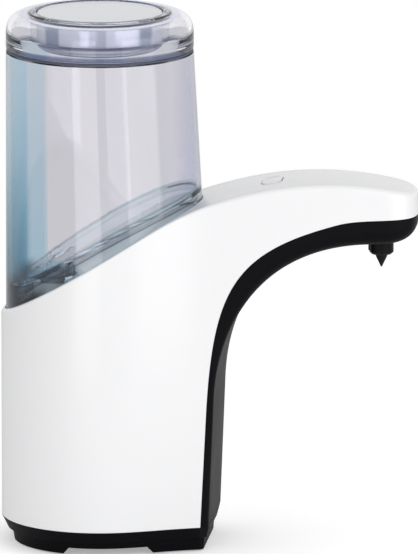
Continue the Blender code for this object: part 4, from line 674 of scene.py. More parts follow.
def straight(start, end, shares):
    """Points on a straight line, at shares of its length."""
    return [tuple(a + s * (b - a) for a, b in zip(start, end)) for s in shares]


print("seam points:", len(SEAM), "seam at the tip:", round(SEAM_TIP * 1000, 1), "mm")

# %% [markdown]
# ## Housing shell
# The white housing is one moulding. Its wall rises from the base to the roof line, rounds over an edge that
# is tight beside the tank and softer along the arm, and closes with a roof that is straight from side to
# side. The plan is extruded row by row, each row moved in and up along the rounding, and the two sides of the
# last row are bridged. Booleans then take out the hollow, the tank's seat, the seam's side and the openings.

# %% Housing shell


WALL = 0.0022
DECK_END = 0.0475
SEAT_DEPTH = 0.003
TANK_TOP = 0.2126
TANK_RADIUS = 0.0401
LEAN, SPREAD = 0.027, 0.03
SCREW_SPOTS = ((-0.02115, 0.02225), (-0.02115, -0.02225), (0.038, 0.0178), (0.038, -0.0178))
BUTTON = 0.07399
OUTLET = -0.02
BEHIND, AHEAD = -0.06, 0.15


def edge_radius(x):
    """The rounding of the roof's edge: 1 mm beside the tank, then growing to 2.6 mm along the arm."""
    share = min(max((x - 0.034) / 0.03, 0.0), 1.0)
    return 0.001 + 0.0016 * share * share * (3 - 2 * share)


def roofed_block(name, inset, depth, radius, bottom, steps=6):
    """A block over the plan, its roof on the roof line and its upper edge rounded."""
    loop = moved_in(closed_plan(PLAN), [inset] * (2 * len(PLAN)))
    radii = np.array([radius(x) for x, _ in loop])
    form = bmesh.new()
    row = first_row(form, [(x, y, bottom) for x, y in loop], closed=True)
    form.faces.new(reversed(row))
    for step in range(steps + 1):
        turn = math.pi / 2 * step / steps
        spots = moved_in(loop, radii * (1 - math.cos(turn)))
        raised = [(x, y, roof(x, depth) - r * (1 - math.sin(turn))) for (x, y), r in zip(spots, radii)]
        row = next_row(form, row, raised, closed=True)
    near, far = row[: len(PLAN)], row[len(PLAN) :][::-1]
    for a, b, c, d in zip(near, near[1:], far[1:], far):
        form.faces.new((a, b, c, d))
    clean(form)
    return mesh_object(name, form)


def leaning_ring(height, shrink, steps):
    """The tank's outline at a height, its wall moved in by the shrink."""
    drop = TANK_TOP - height
    turns = np.linspace(0, math.tau, steps, endpoint=False)
    along, across = TANK_RADIUS + SPREAD * drop - shrink, TANK_RADIUS - shrink
    return [(LEAN * drop + along * math.cos(t), across * math.sin(t), height) for t in turns]


def leaning_block(name, low, high, shrink, steps=128):
    """The tank's outside, or with a shrink a block inside it."""
    return lofted(name, [leaning_ring(height, shrink, steps) for height in (low, high)])


def roof_line(depth, end=AHEAD):
    """The line that lies the depth under the roof, from behind the housing to an end."""
    bend = ROOF_BREAK + depth * math.sin(REAR_SLOPE)
    line = [(x, roof(x, depth)) for x in (BEHIND, *np.linspace(bend, min(end, REACH), 44))]
    if end > REACH:
        line.append((end, line[-1][1] - (end - REACH) * math.tan(TIP_SLOPE)))
    return line


def pill(centre, half_x, half_y):
    turns = np.linspace(0, math.pi, 24)
    straight_run = half_y - half_x
    far = [(centre + half_x * math.cos(t), straight_run + half_x * math.sin(t)) for t in turns]
    near = [(centre - half_x * math.cos(t), -straight_run - half_x * math.sin(t)) for t in turns]
    return far + near


def make_housing():
    """The shell less its hollow, with the outlet's cup under the deck, its bore and its drain."""
    shell = roofed_block("housing_shell_dressed", 0.0, 0.0, edge_radius, BASE_TOP)
    hollow = roofed_block("hollow", WALL, WALL, lambda x: 0.0006, BASE_TOP - 0.01, steps=2)
    carve(shell, carve(hollow, cut_beyond(roof_line(SEAT_DEPTH + WALL, DECK_END), ABOVE)))
    cup = drum("cup", 0.0125, 0.1, 0.125, (OUTLET, 0))
    carve(shell, carve(cup, cut_beyond(roof_line(SEAT_DEPTH + WALL / 2), ABOVE)), "UNION")
    seat = leaning_block("seat", 0.09, TANK_TOP + 0.01, -0.0004, 96)
    carve(shell, carve(seat, cut_beyond(roof_line(SEAT_DEPTH), BELOW)))
    bore = [(0.001, 0.103), (0.001, 0.102), (0.0105, 0.102), (0.0105, 0.14), (0.0, 0.14), (0.0, 0.103)]
    carve(shell, spun("bore", bore, 48, (OUTLET, 0)))
    carve(shell, drum("drain", 0.0013, 0.09, 0.1024, (OUTLET - 0.0045, 0), 24))
    carve(shell, cut_beyond([*SEAM, (AHEAD, SEAM[-1][1])], -0.01))
    return carve(shell, prism("button_hole", pill(BUTTON, 0.0046, 0.008), 0.15, 0.18))


housing = make_housing()
soften(housing, 0.00035, lambda m: m.z > BASE_TOP + 0.001 and not (m.x < 0.045 and roof(m.x) - m.z > 0.002))
finish_piece(housing, GLOSS_WHITE, "housing")

# %% [markdown]
# ## Front cover
# The black cover is a channel: a flat front with large rounded corners whose sides run back to the seam. It
# is swept up the column, round the bend and along the arm's underside, where it closes at the nose. One open
# section is extruded from row to row, and Solidify's operator gives it a wall.

# %% Front cover
COVER_CORNER = 0.006


def cover_rows(column_rows=10, bend_rows=40, nose_rows=14):
    """Matching points of the cover's outside and of the seam, from the base to the nose."""
    column_top = UNDERSIDE[0][1]
    seam_end = SEAM_BEND[-1][0]
    low, high = np.interp((BASE_TOP, column_top), [p[1] for p in SEAM[:30]], [p[0] for p in SEAM[:30]])
    past = [p for p in SEAM if p[1] > column_top and p[0] < seam_end]
    bend = [(high, column_top), *past, (seam_end, seam_height(seam_end))]
    shares = np.linspace(0, 1, column_rows, endpoint=False)
    outside = straight((COLUMN, BASE_TOP), UNDERSIDE[0], shares)
    edge = straight((low, BASE_TOP), (high, column_top), shares)
    outside += evened(bezier_points(UNDERSIDE, 80), bend_rows)
    edge += evened(bend, bend_rows)
    nose = straight(UNDERSIDE[-1], NOSE[0], (0.25, 0.5, 0.75)) + bezier_points(NOSE, nose_rows)
    return outside + nose, edge + [(x, seam_height(x)) for x, _ in nose]


def cover_section(outer, edge, corner_steps=8, side_steps=3):
    """One section, from the seam on the near side, round the front, to the seam on the far side."""
    outer, edge = Vector(outer), Vector(edge)
    depth = edge - outer
    square = depth.normalized()
    edge = edge - square * 0.0003
    radius = min(COVER_CORNER, 0.6 * (depth.length - 0.0003), 0.8 * half_width(outer.x))
    side = []
    start = outer + square * radius
    for s in np.linspace(0, 1, side_steps, endpoint=False):
        spot = edge.lerp(start, s)
        side.append((spot, half_width(spot.x)))
    for turn in np.linspace(0, math.pi / 2, corner_steps + 1):
        spot = outer + square * radius * (1 - math.sin(turn))
        side.append((spot, half_width(spot.x) - radius * (1 - math.cos(turn))))
    near = [(spot.x, -width, spot.y) for spot, width in side]
    inner = side[-1]
    middle = [(inner[0].x, inner[1] * s, inner[0].y) for s in (-0.5, 0.0, 0.5)]
    far = [(spot.x, width, spot.y) for spot, width in reversed(side)]
    return near + middle + far


def make_cover():
    outside, edges = cover_rows()
    form = bmesh.new()
    row = first_row(form, cover_section(outside[0], edges[0]))
    for outer, edge in zip(outside[1:], edges[1:]):
        row = next_row(form, row, cover_section(outer, edge))
    form.faces.new(row)
    clean(form)
    front = max(form.faces, key=lambda f: f.calc_center_median().x - abs(f.calc_center_median().y))
    if front.normal.x < 0:
        bmesh.ops.reverse_faces(form, faces=form.faces)
    bmesh.ops.solidify(form, geom=form.faces[:] + form.edges[:] + form.verts[:], thickness=0.0022)
    return mesh_object("front_cover_dressed", form)


NOZZLE = 0.1208
SENSOR = COLUMN + 0.53 * (REACH - COLUMN)
cover = make_cover()
carve(cover, drum("collar_hole", 0.0055, 0.12, 0.145, (NOZZLE, 0)))
carve(cover, drum("window_hole", 0.0048, 0.11, 0.145, (SENSOR, 0)))
finish_piece(cover, SATIN_BLACK, "housing")

# %% [markdown]
# ## Base tray
# The black base is a shallow tray. Its upper band tapers inwards, steps in at a ledge and goes on as a skirt
# with low arches between the feet. A stack of outlines moved in by different distances gives the bands, and
# Booleans take out the tray, the arches, the battery bay and the pockets for the feet and their screws.

# %% Base tray
FRONT_CHAMFER = 0.0035
BASE_LEVELS = ((0.0006, 0.0052), (0.0056, 0.0044), (0.0062, 0.0024), (0.0111, 0.0))
BAY = (-0.006, 0.01525)


def base_plan(distance, wall=0.0, square=False):
    """The base from above, moved in, half as much at its front, with chamfered or square front corners."""
    front = COLUMN + distance / 2
    cheek = front - FRONT_CHAMFER
    half = [p for p in PLAN if p[0] < COLUMN - 1.5 * FRONT_CHAMFER]
    if square:
        half.append((front, half_width(front)))
    else:
        half += [(cheek, half_width(cheek)), (front, half_width(front) - FRONT_CHAMFER)]
    loop = closed_plan(half)
    return moved_in(loop, [distance + wall] * len(loop))


def make_base():
    """The banded block less the tray, the arches, the screws' pockets and the battery bay."""
    rings = [[(x, y, z) for x, y in base_plan(distance)] for z, distance in BASE_LEVELS]
    base = lofted("base_tray_dressed", rings)
    carve(base, prism("tray", base_plan(0, 0.0038), 0.008, 0.02))
    carve(base, prism("under", base_plan(0.0052, 0.0028, square=True), -0.01, 0.005))
    arch = [(0.0259, 0.0006), (0.0235, 0.0034), (-0.00955, 0.0034), (-0.01195, 0.0006)]
    carve(base, prism("side_arch", [(-0.01195, -0.01), (0.0259, -0.01), *arch], -SIDE, SIDE, across=True))
    carve(base, prism("rear_arch", rectangle(-0.06, -0.02115, -0.009, 0.009), -0.01, 0.0034))
    for spot in SCREW_SPOTS:
        carve(base, drum("boss", 0.0052, 0.0006, 0.0065, spot), "UNION")
    foot_and_head = [(0.0, -0.01), (0.0043, -0.01), (0.0043, 0.0016), (0.0027, 0.0016)]
    shank = [(0.0027, 0.004), (0.0015, 0.004), (0.0015, 0.02), (0.0, 0.02)]
    for spot in SCREW_SPOTS:
        carve(base, spun("pocket", foot_and_head + shank, 48, spot))
    middle, half = BAY
    return carve(base, prism("bay", rectangle(middle - half, middle + half, -half, half), -0.01, 0.02))


base = make_base()
soften(base, 0.0003, lambda m: m.z < 0.0108, angle=30)
finish_piece(base, SATIN_BLACK, "housing")

# %% [markdown]
# ## Feet and screws
# Four rubber discs sit in pockets under the base and cover the heads of its screws. Both are turned pieces,
# so each is one profile spun round its own upright axis. The cross in a screw's head is cut by two bars.

# %% Feet and screws


def cross_cutter(length, width, depth):
    bar = prism("bar", rectangle(-length, length, -width, width), -0.001, depth)
    return carve(bar, prism("other_bar", rectangle(-width, width, -length, length), -0.001, depth), "UNION")


def make_screw(name, spot, face, tip):
    """A pan head with a cross and a threaded shank, drawn upwards and turned over if its tip is lower."""
    head, radius, shank, pitch = 0.0018, 0.0024, 0.0012, 0.0008
    length = abs(tip - face)
    profile = [(0.0, 0.0), (radius * 0.86, 0.0), (radius, 0.0004), (radius, head), (shank, head)]
    for turn in range(int((length - shank - head) / pitch)):
        z = head + pitch * (turn + 0.5)
        profile += [(shank * 0.86, z), (shank, z + pitch / 2)]
    profile += [(shank * 0.8, length - shank), (0.0, length)]
    screw = carve(spun(f"{name}_dressed", profile, 32), cross_cutter(radius * 0.55, radius * 0.12, head * 0.55))
    if tip < face:
        screw.data.transform(Matrix.Rotation(math.pi, 4, "X"))
    screw.data.transform(Matrix.Translation((*spot, face)))
    finish_piece(screw, STEEL, "housing")


disc = rounded([(0.0, 0.0), (0.004, 0.0), (0.004, 0.0013), (0.0, 0.0013)], 0.00035)
for number, spot in enumerate(SCREW_SPOTS, 1):
    turned_part(f"rubber_foot_{number}", disc, FOOT_RUBBER, "housing", spot, 48)
    make_screw(f"base_screw_{number}", spot, 0.0019, 0.0197)

# %% [markdown]
# ## Soap tank
# The clear tank leans towards the arm and is a little wider at its foot. Its skirt stands in the sloping
# seat, and its own sloping floor lies well above the skirt's foot, which gives the band of double walls that
# the eye sees down there. Light has to cross real walls, so the tank is a closed shell: a leaning block less
# the room for the soap and less the hollow under its floor. The floor and the sump at the outlet take the
# second clear finish.

# %% Soap tank
TANK_WALL = 0.002


def floor_line(rise):
    """The tank's floor line, raised by the rise: straight behind the axis, and dipping ahead of it."""
    xs = [BEHIND, 0.0, *np.linspace(0.004, 0.06, 15)]
    return [(x, ROOF_REAR + (x + REAR) * math.tan(REAR_SLOPE) + rise - FLOOR_DIP * max(x, 0.0) ** 2) for x in xs]


def make_tank():
    """Walls above and below the floor, and the sump with a hole for the outlet."""
    tank = carve(leaning_block("soap_tank_dressed", 0.09, TANK_TOP, 0.0), cut_beyond(roof_line(0.0027), BELOW))
    inside = leaning_block("inside", 0.09, TANK_TOP + 0.01, TANK_WALL)
    carve(tank, carve(inside, cut_beyond(floor_line(0.0093), BELOW)))
    hollow = leaning_block("hollow", 0.08, TANK_TOP, TANK_WALL)
    carve(tank, carve(hollow, cut_beyond(floor_line(0.007), ABOVE)))
    sump = drum("sump", 0.0098, 0.113, 0.14, (OUTLET, 0), 64)
    carve(tank, carve(sump, cut_beyond(floor_line(0.0082), ABOVE)), "UNION")
    carve(tank, drum("basin", 0.0078, 0.115, 0.15, (OUTLET, 0), 64))
    return carve(tank, drum("neck_hole", 0.005, 0.1, 0.12, (OUTLET, 0)))


tank = make_tank()
soften(tank, 0.00045, lambda m: m.z > TANK_TOP - 0.0005, segments=3)
finish_piece(tank, CLEAR_TANK, "tank", angle=30)
# The sloping floor and the sump take the clear finish whose darker colour is painted shade.
tank.data.materials.append(CLEAR_FLOOR_PAINTED_SHADE)
for face in tank.data.polygons:
    x, y, z = face.center
    by_outlet = math.hypot(x - OUTLET - SHIFT, y) < 0.0104 and z < 0.135
    sloping = abs(face.normal.z) > 0.5 and z < TANK_TOP - 0.004
    face.material_index = int(by_outlet or sloping)

# %% [markdown]
# ## Lid, seal and insert
# The lid is a clear turning: a low skirt, a rounded crown with a shallow cup, and a plug that drops into the
# tank. It is drawn as a hollow shell, so that light crosses its walls. A dark ring of rubber seals it, and a
# pale satin cap is pressed into its cup, with a brighter finish on its upright wall. All three are profiles
# spun round the tank's axis, with their corners rounded first, so that every rim catches a line of light.

# %% Lid
LID_FOOT = 0.2143
LID_TOP = 0.23
LID_SKIN = 0.0022
PLUG_FOOT = 0.212
PLUG_RADIUS = 0.0377
CROWN_START = 0.0308
CROWN_FOOT = 0.2205
CROWN_TOP = LID_TOP - 0.0006
CROWN_POWER = 0.84


def crown(radius, top):
    """The dome from its top edge down to its foot, out to a radius. The power below 1 squares its shoulder."""
    turns = np.linspace(math.pi / 2, 0, 18)
    bow = [(max(math.cos(t), 0.0) ** CROWN_POWER, math.sin(t) ** CROWN_POWER) for t in turns]
    reach, rise = radius - CROWN_START, top - CROWN_FOOT
    return [(CROWN_START + reach * across, CROWN_FOOT + rise * up) for across, up in bow]


def lid_profile():
    """Cup, crown, skirt and plug down the outside, then up the inside of the crown and under the cup."""
    cup_floor = LID_FOOT + 0.0028
    inner_top = CROWN_TOP - LID_SKIN
    cup = [(0.0, cup_floor), (0.0271, cup_floor, 0.0005), (0.0271, LID_TOP, 0.0005), (0.0303, LID_TOP, 0.0004)]
    corner = [(TANK_RADIUS, LID_FOOT, 0.0006), (PLUG_RADIUS, LID_FOOT, 0.0004)]
    plug = [(PLUG_RADIUS, PLUG_FOOT + 0.0005), (PLUG_RADIUS, PLUG_FOOT), (0.0355, PLUG_FOOT), (0.0355, 0.216)]
    under = [(CROWN_START, inner_top), (0.0293, inner_top), (0.0293, LID_FOOT), (0.0, LID_FOOT)]
    return [
        *rounded([*cup, (CROWN_START, CROWN_TOP)])[:-1],
        *crown(TANK_RADIUS, CROWN_TOP),
        *rounded([(TANK_RADIUS, CROWN_FOOT), *corner, (PLUG_RADIUS, PLUG_FOOT)])[1:-1],
        *rounded(plug, 0.0004)[1:],
        *crown(TANK_RADIUS - LID_SKIN, inner_top)[::-1],
        *rounded(under, 0.0006)[1:],
    ]


turned_part("tank_lid", lid_profile(), CLEAR_LID, "lid", steps=160, angle=40)
seal = ring_profile(0.0383, 0.0398, 0.2129, 0.214, 0.0391, 0.00035)
turned_part("lid_seal", seal, SEAL_RUBBER, "lid", steps=128)
outside = [(0.0, 0.2295), (0.0268, 0.2295, 0.0008), (0.0268, 0.2174, 0.0003), (0.025, 0.2174)]
inside = [(0.0256, 0.2174), (0.025, 0.2174, 0.0003), (0.025, 0.2277, 0.0006), (0.0, 0.2277)]
cap = rounded(outside, segments=6)[:-1] + rounded(inside)[1:]
insert = turned_part("lid_insert", cap, SATIN_SILVER, "lid", steps=128)
# The upright wall takes the bright finish with its bands of painted reflection.
insert.data.materials.append(BRIGHT_SILVER)
for face in insert.data.polygons:
    face.material_index = int(abs(face.normal.z) < 0.5)

# %% [markdown]
# ## Power button
# The button is a small pill in the arm's roof. It stands a hair proud, follows the roof's slope and has a
# flange below that keeps it in. Its top is cut by the roof's own line, and then its rim is beveled.

# %% Power button


def make_button():
    """The cap with its flange and the stem that reaches down to the switch."""
    cap = prism("power_button_dressed", pill(BUTTON, 0.0042, 0.0076), 0.1535, 0.18)
    carve(cap, cut_beyond(roof_line(-0.0004), ABOVE))
    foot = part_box("button_spring")[1][2] + 0.0003
    carve(cap, prism("flange", pill(BUTTON, 0.0054, 0.0088), foot, foot + 0.0014), "UNION")
    stem_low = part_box("power_button")[0][2]
    return carve(cap, drum("stem", 0.00125, stem_low, foot + 0.0007, (BUTTON, 0), 24), "UNION")


button = make_button()
soften(button, 0.00045, lambda m: m.z > 0.1545, segments=3, angle=30)
finish_piece(button, GLOSS_WHITE, "button")

# %% [markdown]
# ## Nozzle
# Under the arm's tip a short collar holds a soft pointed valve. Both are turned. The collar keeps a fine
# upright rib and a chamfered mouth.

# %% Nozzle


def make_collar():
    upper = [(0.0013, 0.1419), (0.0025, 0.1419), (0.0025, 0.1389), (0.0068, 0.1389), (0.0068, 0.1375), (0.0052, 0.1375)]
    rim = [(0.0052, 0.1375), (0.0052, 0.128, 0.0005), (0.0042, 0.127, 0.0004), (0.0032, 0.127, 0.0003)]
    mouth = rounded([*rim, (0.0032, 0.1306), (0.0013, 0.1306)], segments=3)
    collar = spun("nozzle_collar_dressed", upper + mouth[1:], 64, (NOZZLE, 0))
    rib = rectangle(NOZZLE - 0.0056, NOZZLE - 0.005, -0.0006, 0.0006)
    return carve(collar, prism("rib", rib, 0.1285, 0.1335), "UNION")


finish_piece(make_collar(), NOZZLE_BLACK, "housing")
neck = [(0.0, 0.1303), (0.0029, 0.1303), (0.0029, 0.1291), (0.0026, 0.1291), (0.0026, 0.1267), (0.0024, 0.1259)]
point = [(0.0018, 0.1246), (0.0011, 0.1232), (0.0005, 0.1219), (0.0003, 0.1214), (0.0, 0.1214)]
turned_part("nozzle_valve", neck + point, VALVE_RUBBER, "housing", (NOZZLE, 0), 48, 50)

# %% [markdown]
# ## Sensor and its window
# A dark disc in the arm's underside lets only infrared through. Behind it a small board carries two round
# eyes, one that sends and one that receives. The disc is turned with a slight crown, and the eyes end in
# little domes, as such diodes do. The window is glossier than the satin cover round it.

# %% Sensor window and eyes
DARK_WINDOW = solid_finish(
    "dark_window", (0.01, 0.003, 0.005), (0.016, 0.005, 0.008), 0.1, smudge=0.08, fine=0.1, bump=0.02, coat=0.6
)
DARK_PLASTIC = solid_finish(
    "dark_plastic", (0.02, 0.02, 0.023), (0.032, 0.032, 0.036), 0.38, smudge=0.08, fine=0.6, bump=0.1
)


def heights(node):
    """The lowest and highest z of a CAD node."""
    return [corner[2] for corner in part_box(node)]


def make_sensor():
    low, high = heights("sensor_window")
    face = [(0.0, low - 0.0002), (0.0025, low - 0.0001, 0.001), (0.0041, low, 0.0006), (0.0045, low + 0.0004, 0.0004)]
    disc = rounded([*face, (0.0045, high, 0.0002), (0.0, high)])
    turned_part("sensor_window", disc, DARK_WINDOW, "housing", (SENSOR, 0))
    for name, side in (("sensor_emitter", -1), ("sensor_receiver", 1)):
        foot, top = heights(name)
        turns = np.linspace(0, math.pi / 2, 8)
        dome = [(0.00135 * math.sin(t), foot + 0.00135 * (1 - math.cos(t))) for t in turns]
        body = [*dome, (0.00135, top - 0.0007), (0.0015, top - 0.0007), (0.0015, top), (0.0, top)]
        turned_part(name, body, DARK_WINDOW, "housing", (SENSOR, side * 0.0022), 32)


make_sensor()

# %% [markdown]
# ## Copies of the flat and boxed parts
# Boards, contacts, brackets, the pump's two halves and the battery box already have their right shape in the
# CAD model, as loose triangles with knife-sharp edges. A moulding is never that sharp. So each is copied, its
# doubles are merged, its flat faces are joined and its sharp edges get a small bevel, sized for the part.

# %% Copies with softened edges
from_node = {thing.name.split(".")[0]: thing for thing in scene.objects if thing.type == "MESH"}


def dressed_copy(name, paint, body, width, extra=None, angle=32):
    """A cleaned copy of a CAD node's mesh with its sharp edges beveled."""
    form = bmesh.new()
    form.from_mesh(from_node[name].data)
    form.transform(from_node[name].matrix_world)
    bmesh.ops.remove_doubles(form, verts=form.verts, dist=1e-6)
    bmesh.ops.dissolve_limit(form, angle_limit=math.radians(1), verts=form.verts, edges=form.edges)
    thing = mesh_object(f"{name}_dressed", form)
    if extra:
        extra(thing)
    soften(thing, width, segments=2, angle=40)
    return finish_piece(thing, paint, body, angle, shift=0)


def board_finish():
    """Green lacquer over copper tracks: thin paler lines along the borders of a cell pattern."""
    green, second = (0.018, 0.13, 0.055), (0.025, 0.16, 0.07)
    paint = solid_finish("board_green", green, second, 0.3, smudge=0.06, fine=0.4, bump=0.05, coat=0.3)
    tree = paint.node_tree
    base = tree.nodes["Principled BSDF"].inputs["Base Color"]
    values = {"Scale": 420, "Vector": object_place(tree)}
    cells = add_node(tree, "TexVoronoi", values, feature="DISTANCE_TO_EDGE").outputs["Distance"]
    track = ranged(tree, cells, 1.0, 0.0, 0.03, 0.05)
    tree.links.new(blended(tree, track, base.links[0].from_socket, (0.06, 0.3, 0.14, 1)), base)
    return paint


BOARD = board_finish()
MOTOR_CAN = solid_finish(
    "motor_can", (0.56, 0.56, 0.58), (0.48, 0.48, 0.5), 0.32, fine=0.5, bump=0.08, metal=1.0, tone=70.0
)
COPIES = (
    (INNER_PLASTIC, "inner_plastic", "housing", 0.0004, "battery_box chassis"),
    (INNER_PLASTIC, "inner_plastic", "housing", 0.0003, "pump_body pump_cover"),
    (INNER_PLASTIC, "inner_plastic", "rotor", 0.00012, "drive_gear"),
    (INNER_PLASTIC, "inner_plastic", "idler", 0.00012, "idler_gear"),
    (BOARD, "board", "housing", 0.0002, "main_board button_board sensor_board"),
    (DARK_PLASTIC, "dark_plastic", "housing", 0.0002, "control_chip"),
    (STEEL, "steel", "housing", 0.0001, "roof_contact_bridge roof_contact_plus roof_contact_minus"),
    (STEEL, "steel", "door", 0.0001, "door_contact_1 door_contact_2"),
)
for paint, slot, body, width, names in COPIES:
    for name in names.split():
        dressed_copy(name, paint, body, width)

# %% [markdown]
# ## Battery door, switch and hoses
# The door's outer face is seen from below, so it gets three grip grooves beside its finger notch. The switch
# gets the ring round the plunger that the button's stem presses. The hoses are soft tubes: their CAD rods are
# subdivided once, so that they bend smoothly, and take a milky silicone.

# %% Door, switch and hoses
SILICONE = solid_finish(
    "milky_silicone", (0.42, 0.43, 0.44), (0.5, 0.5, 0.51), 0.42, smudge=0.08, fine=0.5, bump=0.08
)


def grip_grooves(door):
    low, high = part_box("battery_door")
    for number in range(3):
        x = high[0] - 0.0032 - number * 0.0016
        bar = rectangle(x - 0.0004, x + 0.0004, -0.009, 0.009)
        carve(door, prism("groove", bar, low[2] - 0.001, low[2] + 0.0004))


def switch_plunger(switch):
    low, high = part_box("button_switch")
    ring = rectangle(0.0011, 0.0015, high[2] - 0.0003, high[2] + 0.0004)
    carve(switch, spun("ring", ring, 32, ((low[0] + high[0]) / 2, 0)))


dressed_copy("battery_door", SATIN_BLACK, "door", 0.0002, grip_grooves)
dressed_copy("button_switch", DARK_PLASTIC, "housing", 0.0002, switch_plunger)
for name in ("inlet_hose", "outlet_hose"):
    hose = dressed_copy(name, SILICONE, "housing", 0.0003, angle=60)
    smooth = hose.modifiers.new("smooth", "SUBSURF")
    smooth.levels = smooth.render_levels = 1

# %% [markdown]
# ## Battery cells, motor and capacitor
# Four standard cells fill the foot. Each is a steel can in a printed jacket that stops short of both ends,
# with a raised contact on top and a flat dished one below. The motor is a steel can with rolled edges and a
# bearing boss, and the capacitor a small can with a groove. All are turned, and a second finish is given to
# the faces outside the jacket.

# %% Cells, motor and capacitor
CELL_JACKET = solid_finish(
    "cell_jacket", (0.03, 0.045, 0.085), (0.038, 0.055, 0.1), 0.3, smudge=0.08, fine=0.3, bump=0.04, metal=0.6
)
CELL_BAND = solid_finish(
    "cell_band", (0.46, 0.47, 0.5), (0.42, 0.43, 0.46), 0.28, smudge=0.08, fine=0.3, bump=0.04, metal=0.8
)


def make_cell(number, spot):
    """A turned cell. Its jacket's long faces are split at the foot of the pale band."""
    low, high = heights(f"battery_cell_{number}")
    top = high - 0.0013
    foot = [(0.0, low + 0.0003), (0.0045, low + 0.0003), (0.0052, low), (0.0064, low), (0.0068, low + 0.0006)]
    jacket = [(0.00725, low + 0.0006), (0.00725, low + 0.0009), (0.00725, top - 0.001), (0.0066, top - 0.0003)]
    shoulder = [(0.0058, top - 0.0003), (0.0056, top - 0.0006), (0.0032, top - 0.0006)]
    contact = [(0.0026, top), (0.0026, high), (0.0, high)]
    can = rounded(foot, 0.0003, 3) + rounded(jacket, 0.0002, 3) + rounded(shoulder + contact, 0.0003, 3)
    cell = turned_part(f"battery_cell_{number}", can, CELL_JACKET, "housing", spot)
    cell.data.materials.append(STEEL)
    cell.data.materials.append(CELL_BAND)
    form = bmesh.new()
    form.from_mesh(cell.data)
    band = high - 0.0152
    everything = form.verts[:] + form.edges[:] + form.faces[:]
    bmesh.ops.bisect_plane(form, geom=everything, plane_co=(0, 0, band), plane_no=(0, 0, 1))
    for face in form.faces:
        middle = face.calc_center_median()
        bare = math.hypot(middle.x - spot[0] - SHIFT, middle.y - spot[1]) < 0.0066
        face.material_index = 1 if bare else 2 if middle.z > band else 0
    form.to_mesh(cell.data)
    form.free()


for number, (i, j) in enumerate(((-1, -1), (-1, 1), (1, -1), (1, 1)), 1):
    make_cell(number, (-0.006 + i * 0.0075, j * 0.0075))

MOTOR = 0.026
rear = [(0.0, 0.0243), (0.01, 0.0243, 0.0003), (0.0105, 0.025, 0.0003), (0.012, 0.025, 0.0006)]
groove = [(0.012, 0.0275), (0.0117, 0.0277), (0.012, 0.0279), (0.012, 0.0543, 0.0012)]
boss = [(0.003, 0.0543, 0.0002), (0.003, 0.0552, 0.0002), (0.0013, 0.0552), (0.0013, 0.0423), (0.0, 0.0423)]
can = rounded(rear + groove + boss, 0.0001)
turned_part("motor", can, MOTOR_CAN, "housing", (MOTOR, 0))
shaft = rounded([(0.0, 0.0426), (0.001, 0.0426), (0.001, 0.0679), (0.0, 0.0679)], 0.0002)
turned_part("motor_shaft", shaft, STEEL, "rotor", (MOTOR, 0), 32)
lower = [(0.0, 0.0668), (0.0032, 0.0668), (0.0032, 0.0678), (0.0029, 0.0681), (0.0032, 0.0684)]
upper = [(0.0032, 0.0748), (0.0027, 0.0748), (0.0026, 0.0746), (0.0, 0.0746)]
can = rounded(lower + upper, 0.0002)
turned_part("capacitor", can, MOTOR_CAN, "housing", (-0.01485, -0.00885), 48)
make_screw("pump_screw_1", (MOTOR - 0.0068, 0.0068), 0.0734, 0.0599)
make_screw("pump_screw_2", (MOTOR + 0.012 + 0.0068, -0.0068), 0.0734, 0.0599)

# %% [markdown]
# ## Tank outlet and its springs
# The outlet under the tank is a small sprung valve: a housing through the sump, held by a nut, with a
# plunger, a spring and a cap in its bore, and a rubber gasket in the socket that it enters. They are turned,
# and the nut has finger notches. A spring is a small ring spun round its axis with a rise on every step.

# %% Outlet and springs
spot = (OUTLET, 0)
shell = [(0.0032, 0.11782), (0.0047, 0.11782), (0.0047, 0.11272), (0.008, 0.11272), (0.008, 0.10462)]
bore = [(0.0017, 0.10462), (0.0017, 0.10702), (0.0032, 0.10702), (0.0032, 0.11782)]
turned_part("outlet_spigot", rounded(shell + bore, 0.0004)[:-1], INNER_PLASTIC, "tank", spot)
stem = [(0.0, 0.11202), (0.0009, 0.11202), (0.0009, 0.10902), (0.0027, 0.10902), (0.0027, 0.10732)]
pin = [(0.0012, 0.10732), (0.0012, 0.10362), (0.0, 0.10362)]
plunger = rounded(stem + pin, 0.00025)
turned_part("outlet_plunger", plunger, INNER_PLASTIC, "plunger", spot, 48)
cap = ring_profile(0.0014, 0.0029, 0.11682, 0.11782, 0.002, 0.0002)
turned_part("outlet_cap", cap, INNER_PLASTIC, "tank", spot, 48)
gasket = ring_profile(0.0056, 0.0102, 0.10232, 0.10432, 0.007, 0.0006)
turned_part("outlet_gasket", gasket, SILICONE, "housing", spot)


def make_nut():
    """A flat ring with eight notches for a key."""
    ring = [(0.005, 0.11732), (0.0072, 0.11732), (0.0072, 0.11532), (0.005, 0.11532)]
    nut = spun("outlet_nut_dressed", ring, 64, spot)
    for turn in np.linspace(0, math.tau, 8, endpoint=False):
        notch = (spot[0] + 0.0079 * math.cos(turn), spot[1] + 0.0079 * math.sin(turn))
        carve(nut, drum("notch", 0.0014, 0.114, 0.119, notch, 20))
    soften(nut, 0.0002, angle=50)
    return finish_piece(nut, INNER_PLASTIC, "tank")


